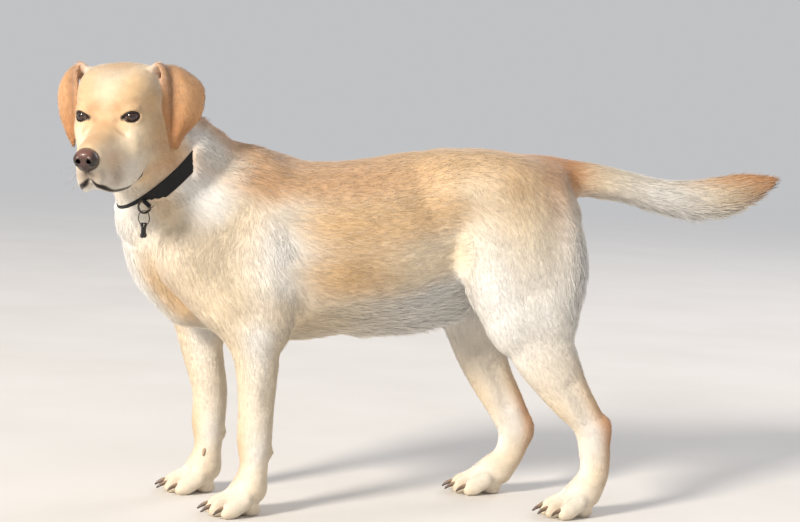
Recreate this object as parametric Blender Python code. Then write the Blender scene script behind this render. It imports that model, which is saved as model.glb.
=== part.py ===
"""A yellow Labrador Retriever dog standing square, head turned to its left, wearing a collar.

The dog faces -X, its left side is -Y and the floor is z = 0. All lengths are metres.
The body is one smooth form gathered from muscle shapes, parted into head, neck, trunk,
tail, legs and paws with a hair-thin gap at every joint face.
"""
import math

import bmesh
import bpy
import numpy as np
from mathutils import Matrix, Vector

# ---------------------------------------------------------------- sizes
GRID = 0.0040            # spacing of the lattice the body form is measured on
GAP = 0.0003             # clear space between two neighbouring solids
SEAT_GAP = 1.2 * GAP     # and round a part that sits in a hollow of its host
WELD = 0.00002           # points nearer than this are one
SLIVER = 8               # loose scraps with fewer points than this are dropped
ROUND_BELOW = math.radians(40.0)     # faces meeting flatter than this are shaded round
FACES = {"head": 1300, "paws": 850, "legs": 620, "rest": 1620}  # triangles per region

FLOOR = 0.008            # height of the floor where the body's own heights are read
BACK_BLEND = 0.030       # how widely two big muscles flow into each other
LIMB_BLEND = 0.020
FACE_BLEND = 0.011
TOE_BLEND = 0.006

HEAD_AT = (-0.363, -0.099, 0.592)    # middle of the head, between the cheeks
HEAD_TURN = math.radians(63.5)       # turned from straight ahead to the dog's left
HEAD_NOD = math.radians(7.0)         # nose below level
HEAD_TILT = math.radians(2.5)

EYE_AT = (0.0680, 0.0350, 0.0170)    # forward, sideways, up from the middle of the head
EYE_RADIUS = 0.0112
NOSE_AT = (0.1590, 0.0, -0.0315)
NOSE_HALF = (0.0140, 0.0180, 0.0155)

COLLAR_WIDTH = 0.024
COLLAR_THICK = 0.0030
COLLAR_PRESS = 0.0020                # how far the collar presses into the coat
GROOVE_DEPTH = 0.030                 # how far out the pressed groove clears the coat
COLLAR_AT = (-0.288, -0.046, 0.528)  # where the collar's middle crosses the neck's middle
COLLAR_UP = (-0.73, -0.15, 0.66)     # the way the neck runs there

KEEPER_WIDTH = 0.012                 # the sewn loop that holds the D-ring's bar
KEEPER_WALL = 0.0018                 # its webbing over and under the bar
RING_WIRE = 0.0014                   # half thickness of the D-ring's wire
RING_BAR = 0.0095                    # half length of its straight bar
RING_DEPTH = 0.0150                  # from the bar to the bottom of the bow
RING_ROUND = 0.107                   # where it sits, as a share of the way round
SPLIT_RADIUS = 0.0105
SPLIT_WIRE = 0.0009
SPLIT_PLAY = 0.0010                  # clear space where it hangs in the D-ring's bow
SPLIT_TURN = math.radians(-138.0)    # the way the split ring faces
TAG_HALF = (0.0065, 0.0115)          # half width and half height of the bone shape
TAG_THICK = 0.0016

DOWN = (0, 0, -1)
PAW_TOP = 0.046                      # heights of the joint faces above the floor
FORELEG_TOP = 0.250
HINDLEG_TOP = 0.260
TAIL_ROOT = (0.338, 0.0, 0.525)
NECK_ROOT = (-0.222, -0.010, 0.470)
NECK_OUT = (-0.80, -0.10, 0.60)      # the way the neck leaves its joint face
HEAD_ABOVE_COLLAR = 0.030
PAW_BOX = (0.170, 0.140, 0.100)      # a box round each part beyond its joint face
FORELEG_BOX = (0.130, 0.170, 0.212)
HINDLEG_BOX = (0.260, 0.170, 0.222)
TAIL_BOX = (0.140, 0.136, 0.450)
HEAD_BOX = (0.360, 0.400, 0.420)
NECK_BOX = (0.300, 0.300, 0.300)

CLAW_ROOT_UP = 0.0170                # height of a claw's root above the floor
CLAW_ROOT_ON = 0.0165                # and how far it stands ahead of the toe's middle
CLAW_LENGTH = 0.017
CLAW_RADIUS = 0.0040


# ---------------------------------------------------------------- scene
for old in list(bpy.data.objects):
    bpy.data.objects.remove(old, do_unlink=True)


def new_collection(name):
    col = bpy.data.collections.new(name)
    bpy.context.scene.collection.children.link(col)
    return col


DOG = new_collection("labrador_dog")
CUTTERS = new_collection("cutters")
CUTTERS.hide_render = True


def material(name, colour, rough, metal=0.0):
    mat = bpy.data.materials.new(name)
    mat.use_nodes = True
    shader = mat.node_tree.nodes["Principled BSDF"]
    shader.inputs["Base Color"].default_value = (*colour, 1.0)
    shader.inputs["Roughness"].default_value = rough
    shader.inputs["Metallic"].default_value = metal
    mat.diffuse_color = (*colour, 1.0)
    return mat


COAT = material("coat", (0.72, 0.50, 0.27), 0.85)
EAR_COAT = material("ear_coat", (0.62, 0.33, 0.12), 0.85)
EYEBALL = material("eyeball", (0.05, 0.025, 0.012), 0.12)
NOSE_SKIN = material("nose_skin", (0.16, 0.07, 0.055), 0.40)
CLAW_HORN = material("claw_horn", (0.10, 0.07, 0.05), 0.45)
WEBBING = material("collar_webbing", (0.010, 0.010, 0.012), 0.80)
STEEL = material("ring_steel", (0.55, 0.55, 0.56), 0.25, 1.0)
TAG_METAL = material("tag_metal", (0.03, 0.03, 0.035), 0.40, 0.6)


# ---------------------------------------------------------------- the measured form
class Form:
    """Signed distance (about) from a smooth form, on a lattice of points."""

    def __init__(self, low, high, step):
        self.low = np.array(low, float)
        self.step = step
        self.count = np.ceil((np.array(high) - self.low) / step).astype(int) + 1
        self.value = np.full(self.count, 0.2, np.float32)

    def block(self, low, high):
        """Index ranges of the lattice inside a box, and the points there."""
        first = np.floor((np.array(low) - self.low) / self.step).astype(int)
        last = np.ceil((np.array(high) - self.low) / self.step).astype(int) + 1
        first = np.clip(first, 0, self.count)
        last = np.clip(last, 0, self.count)
        part = tuple(slice(a, b) for a, b in zip(first, last))
        axes = [self.low[i] + self.step * np.arange(first[i], last[i]) for i in range(3)]
        return part, np.stack(np.meshgrid(*axes, indexing="ij"), -1).astype(np.float32)

    def add(self, part, dist, blend):
        old = self.value[part]
        near = np.clip(1.0 - np.abs(old - dist) / blend, 0.0, 1.0)
        self.value[part] = np.minimum(old, dist) - near * near * blend * 0.25


def between(rows, turns):
    """A smooth run of rows through the given rows."""
    rows = np.array(rows, float)
    wide = np.vstack([2 * rows[0] - rows[1], rows, 2 * rows[-1] - rows[-2]])
    out = []
    for i in range(1, len(wide) - 2):
        a, b, c, d = wide[i - 1:i + 3]
        for t in np.arange(turns) / turns:
            out.append(0.5 * (2 * b + (c - a) * t + (2 * a - 5 * b + 4 * c - d) * t * t
                              + (3 * b - a - 3 * c + d) * t ** 3))
    out.append(rows[-1])
    return np.array(out)


def muscle(form, rows, blend, side=(0, 1, 0), turns=4):
    """A rounded rod through rows of (x, y, z, half width along side, half depth)."""
    run = between(rows, turns)
    reach = run[:, 3:5].max(1) + blend + 2 * form.step
    low = (run[:, :3] - reach[:, None]).min(0)
    high = (run[:, :3] + reach[:, None]).max(0)
    part, pts = form.block(low, high)
    best = np.full(pts.shape[:3], 0.5, np.float32)
    side = np.array(side, float)
    for a, b in zip(run[:-1], run[1:]):
        along = b[:3] - a[:3]
        length = np.linalg.norm(along)
        along = along / length
        across = side - along * (side @ along)
        across = across / np.linalg.norm(across)
        depth = np.cross(along, across)
        q = pts - a[:3].astype(np.float32)
        s = q @ along.astype(np.float32)
        t = np.clip(s / length, 0.0, 1.0)
        half_w = a[3] + (b[3] - a[3]) * t
        half_d = a[4] + (b[4] - a[4]) * t
        half_e = np.minimum(half_w, half_d)
        past = (s - t * length) / half_e
        u = (q @ across.astype(np.float32)) / half_w
        v = (q @ depth.astype(np.float32)) / half_d
        k0 = np.sqrt(u * u + v * v + past * past) + 1e-6
        k1 = np.sqrt((u / half_w) ** 2 + (v / half_d) ** 2 + (past / half_e) ** 2) + 1e-4
        best = np.minimum(best, k0 * (k0 - 1.0) / k1)
    form.add(part, best, blend)


def lump(form, at, half, blend, frame=None):
    """An egg with its own half sizes along the three axes of a frame."""
    frame = np.eye(3) if frame is None else np.array(frame, float)
    at = np.array(at, float)
    half = np.array(half, float)
    reach = np.full(3, half.max() + blend + 2 * form.step)
    part, pts = form.block(at - reach, at + reach)
    q = ((pts - at.astype(np.float32)) @ frame.T.astype(np.float32)) / half.astype(np.float32)
    k0 = np.sqrt((q * q).sum(-1)) + 1e-6
    k1 = np.sqrt(((q / half.astype(np.float32)) ** 2).sum(-1)) + 1e-4
    form.add(part, k0 * (k0 - 1.0) / k1, blend)


# ---------------------------------------------------------------- head frame
def head_axes():
    """Forward, left and up of the head, as rows."""
    ct, st = math.cos(HEAD_TURN), math.sin(HEAD_TURN)
    cn, sn = math.cos(HEAD_NOD), math.sin(HEAD_NOD)
    forward = np.array([-ct * cn, -st * cn, -sn])
    left = np.array([st, -ct, 0.0])
    up = np.cross(forward, left)
    cr, sr = math.cos(HEAD_TILT), math.sin(HEAD_TILT)
    return np.array([forward, left * cr + up * sr, up * cr - left * sr])


HEAD = head_axes()


def on_head(f, s, u):
    return np.array(HEAD_AT) + f * HEAD[0] + s * HEAD[1] + u * HEAD[2]


def head_rows(rows):
    return [(*on_head(*row[:3]), row[3], row[4]) for row in rows]


# ---------------------------------------------------------------- body
def add_trunk(form):
    ribs = [(-0.264, 0, 0.405, 0.075, 0.088),
            (-0.220, 0, 0.412, 0.098, 0.128),
            (-0.160, 0, 0.410, 0.112, 0.142),
            (-0.090, 0, 0.402, 0.119, 0.140),
            (-0.020, 0, 0.408, 0.120, 0.134),
            (0.045, 0, 0.417, 0.112, 0.133),
            (0.105, 0, 0.433, 0.098, 0.129),
            (0.165, 0, 0.447, 0.088, 0.117),
            (0.225, 0, 0.463, 0.080, 0.100),
            (0.285, 0, 0.482, 0.066, 0.074)]
    muscle(form, ribs, BACK_BLEND, turns=6)
    sheath = [(0.020, 0, 0.294, 0.020, 0.016),
              (0.110, 0, 0.300, 0.022, 0.020),
              (0.165, 0, 0.312, 0.018, 0.018)]
    muscle(form, sheath, 0.040)
    for s in (-1, 1):
        rump = [(0.150, s * 0.040, 0.500, 0.055, 0.062),
                (0.225, s * 0.045, 0.505, 0.058, 0.060),
                (0.290, s * 0.036, 0.498, 0.045, 0.052)]
        muscle(form, rump, BACK_BLEND)
    breast = [(-0.330, -0.046, 0.500, 0.045, 0.043),
              (-0.312, -0.014, 0.438, 0.054, 0.047),
              (-0.283, 0.000, 0.376, 0.054, 0.053),
              (-0.246, 0.000, 0.330, 0.046, 0.050)]
    muscle(form, breast, BACK_BLEND, turns=9)


def add_neck(form):
    rows = [(-0.165, 0.000, 0.430, 0.086, 0.118),
            (-0.215, -0.010, 0.468, 0.081, 0.104),
            (-0.262, -0.032, 0.508, 0.074, 0.085),
            (-0.302, -0.058, 0.544, 0.070, 0.075),
            (-0.345, -0.084, 0.582, 0.065, 0.068)]
    muscle(form, rows, BACK_BLEND, turns=9)


def add_shoulder(form, s, reach):
    """The blade, the upper arm and the elbow; reach is how far forward the elbow stands."""
    blade = [(-0.150, s * 0.038, 0.515, 0.036, 0.050),
             (-0.205, s * 0.068, 0.455, 0.040, 0.062),
             (-0.262, s * 0.082, 0.392, 0.036, 0.050)]
    muscle(form, blade, LIMB_BLEND)
    arm = [(-0.262, s * 0.078, 0.385, 0.038, 0.046),
           (-0.205 - reach * 0.5, s * 0.086, 0.335, 0.040, 0.052),
           (-0.155 - reach, s * 0.088, 0.285, 0.036, 0.044)]
    muscle(form, arm, LIMB_BLEND)
    triceps = [(-0.150, s * 0.076, 0.440, 0.034, 0.050),
               (-0.150 - reach * 0.5, s * 0.088, 0.370, 0.038, 0.054),
               (-0.140 - reach, s * 0.092, 0.305, 0.034, 0.044)]
    muscle(form, triceps, LIMB_BLEND)


def add_foreleg(form, s, reach, lean):
    """Forearm, wrist and pastern of one foreleg, down to the paw."""
    x = -0.151 - reach
    rows = [(x - 0.006 - lean, s * 0.090, 0.285, 0.034, 0.043),
            (x - 0.001 - lean * 0.7, s * 0.089, 0.225, 0.029, 0.034),
            (x, s * 0.087, 0.170, 0.026, 0.029),
            (x, s * 0.086, 0.120, 0.026, 0.028),
            (x + 0.001, s * 0.085, 0.085, 0.023, 0.023),
            (x - 0.004, s * 0.086, 0.050, 0.024, 0.023)]
    muscle(form, rows, LIMB_BLEND)
    lump(form, (x + 0.024, s * 0.087, 0.104), (0.008, 0.009, 0.011), TOE_BLEND)
    lump(form, (x + 0.026 - lean, s * 0.094, 0.292), (0.020, 0.020, 0.028), 0.016)


def add_thigh(form, s, shift):
    """Thigh muscles of one side; shift is how far forward the knee stands."""
    front = [(0.215, s * 0.060, 0.470, 0.038, 0.060),
             (0.208 - shift, s * 0.086, 0.390, 0.040, 0.056),
             (0.232 - shift, s * 0.094, 0.315, 0.036, 0.044)]
    muscle(form, front, LIMB_BLEND)
    back = [(0.300, s * 0.045, 0.470, 0.042, 0.052),
            (0.302 - shift * 0.6, s * 0.070, 0.390, 0.044, 0.060),
            (0.295 - shift, s * 0.088, 0.315, 0.036, 0.050)]
    muscle(form, back, LIMB_BLEND)
    side = [(0.258, s * 0.062, 0.470, 0.040, 0.048),
            (0.254 - shift * 0.8, s * 0.082, 0.390, 0.041, 0.050),
            (0.263 - shift, s * 0.090, 0.315, 0.036, 0.042)]
    muscle(form, side, LIMB_BLEND)


def add_hindleg(form, rows, s, knee, hock):
    muscle(form, rows, LIMB_BLEND)
    lump(form, knee, (0.026, 0.024, 0.030), LIMB_BLEND)
    lump(form, hock, (0.013, 0.014, 0.020), 0.014)


def paw_frame(yaw):
    """Forward, left and up of a paw, as rows."""
    c, n = math.cos(yaw), math.sin(yaw)
    return np.array([[-c, -n, 0], [n, -c, 0], [0, 0, 1.0]])


def add_paw(form, at, yaw, hind):
    """Four toes and the heel pad; at is the floor point under the middle of the paw."""
    frame = paw_frame(yaw)

    def spot(f, s, z):
        return np.array([at[0], at[1], FLOOR]) + f * frame[0] + s * frame[1] + [0, 0, z]

    wide = 0.90 if hind else 1.0
    top = 0.040
    heel = [(*spot(-0.012, 0, top), 0.023 * wide, 0.021),
            (*spot(0.000, 0, 0.030), 0.027 * wide, 0.022),
            (*spot(0.012, 0, 0.020), 0.029 * wide, 0.018)]
    muscle(form, heel, LIMB_BLEND, side=frame[1], turns=3)
    lump(form, spot(-0.012, 0, 0.009), (0.018, 0.020 * wide, 0.013), TOE_BLEND, frame)
    for f, s, fan in toe_table(wide):
        tip = frame[0] * math.cos(fan) + frame[1] * math.sin(fan)
        across = frame[1] * math.cos(fan) - frame[0] * math.sin(fan)
        row = [(*spot(f - 0.016, s * 0.92, 0.024), 0.0115 * wide, 0.0135),
               (*(spot(f, s, 0.0145) + 0.004 * tip), 0.0118 * wide, 0.0160),
               (*(spot(f, s, 0.0095) + 0.014 * tip), 0.0105 * wide, 0.0115)]
        muscle(form, row, TOE_BLEND, side=across, turns=3)


def toe_table(wide):
    """Forward, sideways and fan angle of the four toes."""
    return [(0.017, 0.0300 * wide, 0.16), (0.031, 0.0112 * wide, 0.05),
            (0.031, -0.0112 * wide, -0.05), (0.017, -0.0300 * wide, -0.16)]


def add_head(form):
    lump(form, on_head(-0.004, 0, 0.027), (0.070, 0.060, 0.058), FACE_BLEND, HEAD)
    lump(form, on_head(-0.042, 0, 0.018), (0.036, 0.046, 0.044), FACE_BLEND, HEAD)
    lump(form, on_head(0.034, 0, 0.036), (0.040, 0.045, 0.036), 0.020, HEAD)
    for s in (-1, 1):
        lump(form, on_head(0.008, s * 0.034, 0.046), (0.048, 0.026, 0.034), 0.020, HEAD)
        lump(form, on_head(0.053, s * 0.026, 0.034), (0.024, 0.021, 0.018), 0.018, HEAD)
        lump(form, on_head(0.044, s * 0.034, 0.003), (0.033, 0.023, 0.026), 0.016, HEAD)
        cheek = [(-0.020, s * 0.039, -0.022, 0.026, 0.044),
                 (0.028, s * 0.039, -0.022, 0.024, 0.040),
                 (0.066, s * 0.031, -0.026, 0.019, 0.030)]
        muscle(form, head_rows(cheek), 0.018, side=HEAD[1], turns=6)
        flew = [(0.054, s * 0.034, -0.050, 0.014, 0.026),
                (0.086, s * 0.028, -0.055, 0.014, 0.029),
                (0.116, s * 0.019, -0.054, 0.014, 0.028),
                (0.142, s * 0.0105, -0.049, 0.0110, 0.022)]
        muscle(form, head_rows(flew), 0.012, side=HEAD[1], turns=6)
    bridge = [(0.048, 0, 0.002, 0.034, 0.024),
              (0.078, 0, -0.008, 0.025, 0.020),
              (0.110, 0, -0.016, 0.021, 0.017),
              (0.146, 0, -0.024, 0.018, 0.015)]
    muscle(form, head_rows(bridge), 0.018, side=HEAD[1], turns=6)
    muzzle = [(0.050, 0, -0.022, 0.042, 0.030),
              (0.090, 0, -0.032, 0.033, 0.026),
              (0.122, 0, -0.036, 0.026, 0.023),
              (0.146, 0, -0.038, 0.018, 0.018)]
    muscle(form, head_rows(muzzle), FACE_BLEND, side=HEAD[1], turns=6)
    jaw = [(0.000, 0, -0.050, 0.044, 0.032),
           (0.060, 0, -0.066, 0.031, 0.026),
           (0.092, 0, -0.074, 0.020, 0.015),
           (0.112, 0, -0.075, 0.015, 0.011)]
    muscle(form, head_rows(jaw), FACE_BLEND, side=HEAD[1], turns=6)


def add_tail(form):
    rows = [(0.285, 0, 0.515, 0.034, 0.036),
            (0.330, 0, 0.526, 0.029, 0.0320),
            (0.385, 0, 0.523, 0.026, 0.0300),
            (0.440, 0, 0.515, 0.023, 0.0255),
            (0.500, 0, 0.502, 0.021, 0.0280),
            (0.555, 0, 0.499, 0.019, 0.0330),
            (0.600, 0, 0.506, 0.017, 0.0335),
            (0.645, 0, 0.520, 0.013, 0.0265),
            (0.684, 0, 0.532, 0.008, 0.0115)]
    muscle(form, rows, BACK_BLEND)


NEAR_HIND = [(0.264, -0.092, 0.320, 0.036, 0.059),
             (0.291, -0.098, 0.262, 0.031, 0.053),
             (0.327, -0.098, 0.205, 0.025, 0.039),
             (0.366, -0.097, 0.155, 0.019, 0.028),
             (0.379, -0.096, 0.115, 0.018, 0.0270),
             (0.381, -0.095, 0.075, 0.019, 0.0235),
             (0.370, -0.095, 0.045, 0.022, 0.022)]
FAR_HIND = [(0.222, 0.088, 0.320, 0.036, 0.058),
            (0.232, 0.090, 0.262, 0.031, 0.048),
            (0.254, 0.088, 0.205, 0.025, 0.0385),
            (0.285, 0.084, 0.150, 0.019, 0.0330),
            (0.302, 0.082, 0.112, 0.018, 0.0300),
            (0.295, 0.082, 0.076, 0.019, 0.0250),
            (0.280, 0.083, 0.045, 0.022, 0.022)]
PAWS = {"fore_left": ((-0.167, -0.088), 0.06, False),
        "fore_right": ((-0.210, 0.088), -0.02, False),
        "hind_left": ((0.352, -0.097), 0.08, True),
        "hind_right": ((0.254, 0.086), -0.06, True)}


def measure_body():
    form = Form((-0.49, -0.29, -0.012), (0.72, 0.15, 0.71), GRID)
    add_trunk(form)
    add_neck(form)
    add_shoulder(form, -1, 0.0)
    add_shoulder(form, 1, 0.040)
    add_foreleg(form, -1, 0.0, 0.0)
    add_foreleg(form, 1, 0.045, 0.016)
    add_thigh(form, -1, 0.0)
    add_thigh(form, 1, 0.025)
    add_hindleg(form, NEAR_HIND, -1, (0.232, -0.098, 0.290), (0.392, -0.096, 0.146))
    add_hindleg(form, FAR_HIND, 1, (0.205, 0.094, 0.290), (0.320, 0.084, 0.112))
    for at, yaw, hind in PAWS.values():
        add_paw(form, at, yaw, hind)
    add_tail(form)
    add_head(form)
    return form


# ---------------------------------------------------------------- surface of a form
def surface(form):
    """Points and four-sided faces where the form's distance is zero."""
    val = form.value
    inside = val < 0
    n = np.array(val.shape)
    total = np.zeros((*(n - 1), 3))
    hits = np.zeros(n - 1)
    corner = [(i, j, k) for i in (0, 1) for j in (0, 1) for k in (0, 1)]

    def at_corner(arr, c):
        return arr[c[0]:n[0] - 1 + c[0], c[1]:n[1] - 1 + c[1], c[2]:n[2] - 1 + c[2]]

    for a in corner:
        for axis in range(3):
            if a[axis]:
                continue
            b = tuple(1 if i == axis else a[i] for i in range(3))
            va, vb = at_corner(val, a), at_corner(val, b)
            cross = at_corner(inside, a) != at_corner(inside, b)
            t = np.where(cross, va / np.where(cross, va - vb, 1.0), 0.0)
            for i in range(3):
                total[..., i] += np.where(cross, a[i] + (t if i == axis else 0.0), 0.0)
            hits += cross
    used = hits > 0
    index = np.full(used.shape, -1)
    index[used] = np.arange(used.sum())
    cells = np.argwhere(used)
    points = form.low + form.step * (cells + total[used] / hits[used][:, None])
    faces = []
    for axis in range(3):
        u, v = (axis + 1) % 3, (axis + 2) % 3
        lo = [slice(1, -1)] * 3
        lo[axis] = slice(0, -1)
        hi = [slice(1, -1)] * 3
        hi[axis] = slice(1, None)
        change = inside[tuple(lo)] != inside[tuple(hi)]
        where = np.argwhere(change)
        where[:, u] += 1
        where[:, v] += 1
        quad = []
        for du, dv in ((-1, -1), (0, -1), (0, 0), (-1, 0)):
            cell = where.copy()
            cell[:, u] += du
            cell[:, v] += dv
            quad.append(index[cell[:, 0], cell[:, 1], cell[:, 2]])
        quad = np.stack(quad, 1)
        out = inside[tuple(lo)][change]
        quad[~out] = quad[~out][:, ::-1]
        faces.append(quad)
    return points, np.vstack(faces)


def mesh_object(name, points, faces, mat, col=None):
    mesh = bpy.data.meshes.new(name)
    mesh.from_pydata([tuple(p) for p in points], [], [tuple(int(i) for i in f) for f in faces])
    mesh.update()
    obj = bpy.data.objects.new(name, mesh)
    (col or DOG).objects.link(obj)
    obj.data.materials.append(mat)
    return obj


def apply_modifiers(obj):
    bpy.context.view_layer.objects.active = obj
    deps = bpy.context.evaluated_depsgraph_get()
    mesh = bpy.data.meshes.new_from_object(obj.evaluated_get(deps))
    obj.modifiers.clear()
    old = obj.data
    obj.data = mesh
    bpy.data.meshes.remove(old)


def modify(obj, kind, **settings):
    mod = obj.modifiers.new(kind.title(), kind)
    for key, value in settings.items():
        setattr(mod, key, value)
    apply_modifiers(obj)


def drop_slivers(mesh):
    """Delete loose scraps of a few faces, left where a cut only grazed the form."""
    left = set(mesh.verts)
    while left:
        island, edge = set(), {left.pop()}
        while edge:
            island |= edge
            edge = {e.other_vert(v) for v in edge for e in v.link_edges} & left
            left -= edge
        if len(island) < SLIVER:
            bmesh.ops.delete(mesh, geom=list(island), context="VERTS")


def tidy_mesh(obj):
    mesh = bmesh.new()
    mesh.from_mesh(obj.data)
    bmesh.ops.remove_doubles(mesh, verts=mesh.verts, dist=WELD)
    drop_slivers(mesh)
    bmesh.ops.recalc_face_normals(mesh, faces=mesh.faces)
    mesh.to_mesh(obj.data)
    mesh.free()


def boolean(obj, cutter, operation):
    modify(obj, "BOOLEAN", object=cutter, operation=operation, solver="EXACT")
    tidy_mesh(obj)


def copy_of(obj, name, col=None):
    twin = bpy.data.objects.new(name, obj.data.copy())
    (col or DOG).objects.link(twin)
    return twin


def as_cutter(obj):
    obj.display_type = "WIRE"
    obj.hide_render = True


def grown(obj, by):
    """A copy pushed outward all round, for cutting a seat with clear space."""
    cutter = copy_of(obj, obj.name + "_seat", CUTTERS)
    mesh = bmesh.new()
    mesh.from_mesh(cutter.data)
    mesh.normal_update()
    for vert in mesh.verts:
        sharp = max(0.45, min(1.0, vert.calc_shell_factor() ** -1.0))
        vert.co += vert.normal * by / sharp
    mesh.to_mesh(cutter.data)
    mesh.free()
    as_cutter(cutter)
    return cutter


def box_cutter(name, face_at, out, size, over):
    """A box whose one face stands at face_at, facing against out, pulled back by over."""
    out = Vector(out).normalized()
    bpy.ops.mesh.primitive_cube_add(size=1.0)
    box = bpy.context.object
    box.name = name
    box.scale = size
    box.rotation_mode = "QUATERNION"
    box.rotation_quaternion = out.to_track_quat("Z", "Y")
    box.location = Vector(face_at) + out * (size[2] * 0.5 - over)
    bpy.context.view_layer.update()
    box.data.transform(box.matrix_world)
    box.matrix_world = Matrix.Identity(4)
    for col in list(box.users_collection):
        col.objects.unlink(box)
    CUTTERS.objects.link(box)
    as_cutter(box)
    return box


def part_off(body, name, face_at, out, size):
    """Give the end of the body beyond a flat joint face a solid of its own."""
    inner = box_cutter(name + "_end", face_at, out, size, -GAP / 2)
    wider = [length + 2 * GAP for length in size]
    outer = box_cutter(name + "_rest", face_at, out, wider, GAP / 2)
    end = copy_of(body, name)
    boolean(end, inner, "INTERSECT")
    boolean(body, outer, "DIFFERENCE")
    return end


# ---------------------------------------------------------------- body solids
def region_of(co):
    """Which region of the body a point lies in, for sharing out the triangles."""
    if (co - Vector(on_head(0.06, 0, -0.01))).length < 0.135:
        return "head"
    if co.z < 0.066:
        return "paws"
    return "legs" if co.z < 0.26 else "rest"


def make_body():
    body = mesh_object("trunk", *surface(measure_body()), COAT)
    modify(body, "SMOOTH", factor=0.5, iterations=3)
    modify(body, "TRIANGULATE")
    for region, target in FACES.items():
        group = body.vertex_groups.new(name=region)
        own = {v.index for v in body.data.vertices if region_of(v.co) == region}
        group.add(list(own), 1.0, "REPLACE")
        total = len(body.data.polygons)
        count = sum(any(i in own for i in p.vertices) for p in body.data.polygons)
        modify(body, "DECIMATE", ratio=(total - count + target) / total, vertex_group=region)
    tidy_mesh(body)
    return body


def part_body(body):
    parts = {}
    floor = box_cutter("floor", (0, 0, FLOOR), (0, 0, -1), (1.6, 1.0, 0.1), 0.0)
    boolean(body, floor, "DIFFERENCE")
    for name, (at, _, _) in PAWS.items():
        face_at = (at[0] + 0.013, at[1], FLOOR + PAW_TOP)
        parts["paw_" + name] = part_off(body, "paw_" + name, face_at, DOWN, PAW_BOX)
    head_at = Vector(COLLAR_AT) + Vector(COLLAR_UP).normalized() * HEAD_ABOVE_COLLAR
    joints = [("foreleg_left", (-0.150, -0.100, FLOOR + FORELEG_TOP), DOWN, FORELEG_BOX),
              ("foreleg_right", (-0.200, 0.100, FLOOR + FORELEG_TOP), DOWN, FORELEG_BOX),
              ("hindleg_left", (0.320, -0.100, FLOOR + HINDLEG_TOP), DOWN, HINDLEG_BOX),
              ("hindleg_right", (0.260, 0.100, FLOOR + HINDLEG_TOP), DOWN, HINDLEG_BOX),
              ("tail", TAIL_ROOT, (1, 0, 0), TAIL_BOX),
              ("head", head_at, COLLAR_UP, HEAD_BOX),
              ("neck", NECK_ROOT, NECK_OUT, NECK_BOX)]
    for name, face_at, out, size in joints:
        parts[name] = part_off(body, name, face_at, out, size)
    parts["trunk"] = body
    return parts


# ---------------------------------------------------------------- ears
EAR_ROWS = [                       # front edge, rear edge, half thickness, bow
    ((0.010, 0.038, 0.058), (-0.044, 0.040, 0.028), 0.0110, 0.000),
    ((0.012, 0.050, 0.079), (-0.046, 0.062, 0.046), 0.0110, 0.002),
    ((0.011, 0.059, 0.085), (-0.046, 0.086, 0.056), 0.0085, 0.003),
    ((0.010, 0.064, 0.073), (-0.047, 0.106, 0.050), 0.0070, 0.004),
    ((0.010, 0.065, 0.051), (-0.045, 0.115, 0.033), 0.0058, 0.006),
    ((0.011, 0.066, 0.022), (-0.035, 0.110, 0.005), 0.0052, 0.007),
    ((0.011, 0.068, 0.000), (-0.021, 0.099, -0.011), 0.0046, 0.006),
    ((0.010, 0.071, -0.019), (-0.006, 0.087, -0.025), 0.0040, 0.004),
    ((0.006, 0.075, -0.034), (0.001, 0.080, -0.035), 0.0025, 0.001)]
EAR_SPREAD = {"ear_left": 0.965, "ear_right": 1.040}  # the right ear is carried wider


def make_ear(name, s):
    """A flap that leaves the skull, folds over and hangs to a rounded point."""
    rows = [(*a, *b, thick, bow) for a, b, thick, bow in EAR_ROWS]
    run = between(rows, 2)[:-1]
    wide = s * EAR_SPREAD[name]
    front = np.array([on_head(f, wide * w, u) for f, w, u in run[:, 0:3]])
    rear = np.array([on_head(f, wide * w, u) for f, w, u in run[:, 3:6]])
    middle = 0.5 * (front + rear)
    count = 10
    points, faces = [], []
    for i in range(len(run)):
        half = 0.5 * (front[i] - rear[i])
        along = middle[min(i + 1, len(run) - 1)] - middle[max(i - 1, 0)]
        face = np.cross(half, along) * s
        face = face / np.linalg.norm(face)
        for k in range(count):
            t = 2 * math.pi * k / count
            a, b = math.cos(t), math.sin(t)
            lift = b * run[i, 6] * (1.0 - 0.35 * a * a) + run[i, 7] * (1.0 - a * a)
            points.append(middle[i] + half * a + face * lift)
    for i in range(len(run) - 1):
        for k in range(count):
            m = (k + 1) % count
            faces.append((i * count + k, i * count + m, (i + 1) * count + m, (i + 1) * count + k))
    faces.append(tuple(range(count))[::-1])
    faces.append(tuple((len(run) - 1) * count + k for k in range(count)))
    ear = mesh_object(name, points, faces, EAR_COAT)
    tidy_mesh(ear)
    return ear


# ---------------------------------------------------------------- small parts
def make_ball(name, at, half, mat, frame, rings=10, segments=14):
    mesh = bmesh.new()
    bmesh.ops.create_uvsphere(mesh, u_segments=segments, v_segments=rings, radius=1.0)
    axes = Matrix([list(row) for row in frame]).transposed().to_4x4()
    shape = Matrix.Translation(Vector(at)) @ axes @ Matrix.Diagonal((*half, 1.0))
    bmesh.ops.transform(mesh, matrix=shape, verts=mesh.verts)
    data = bpy.data.meshes.new(name)
    mesh.to_mesh(data)
    mesh.free()
    obj = bpy.data.objects.new(name, data)
    DOG.objects.link(obj)
    data.materials.append(mat)
    tidy_mesh(obj)
    return obj


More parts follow.
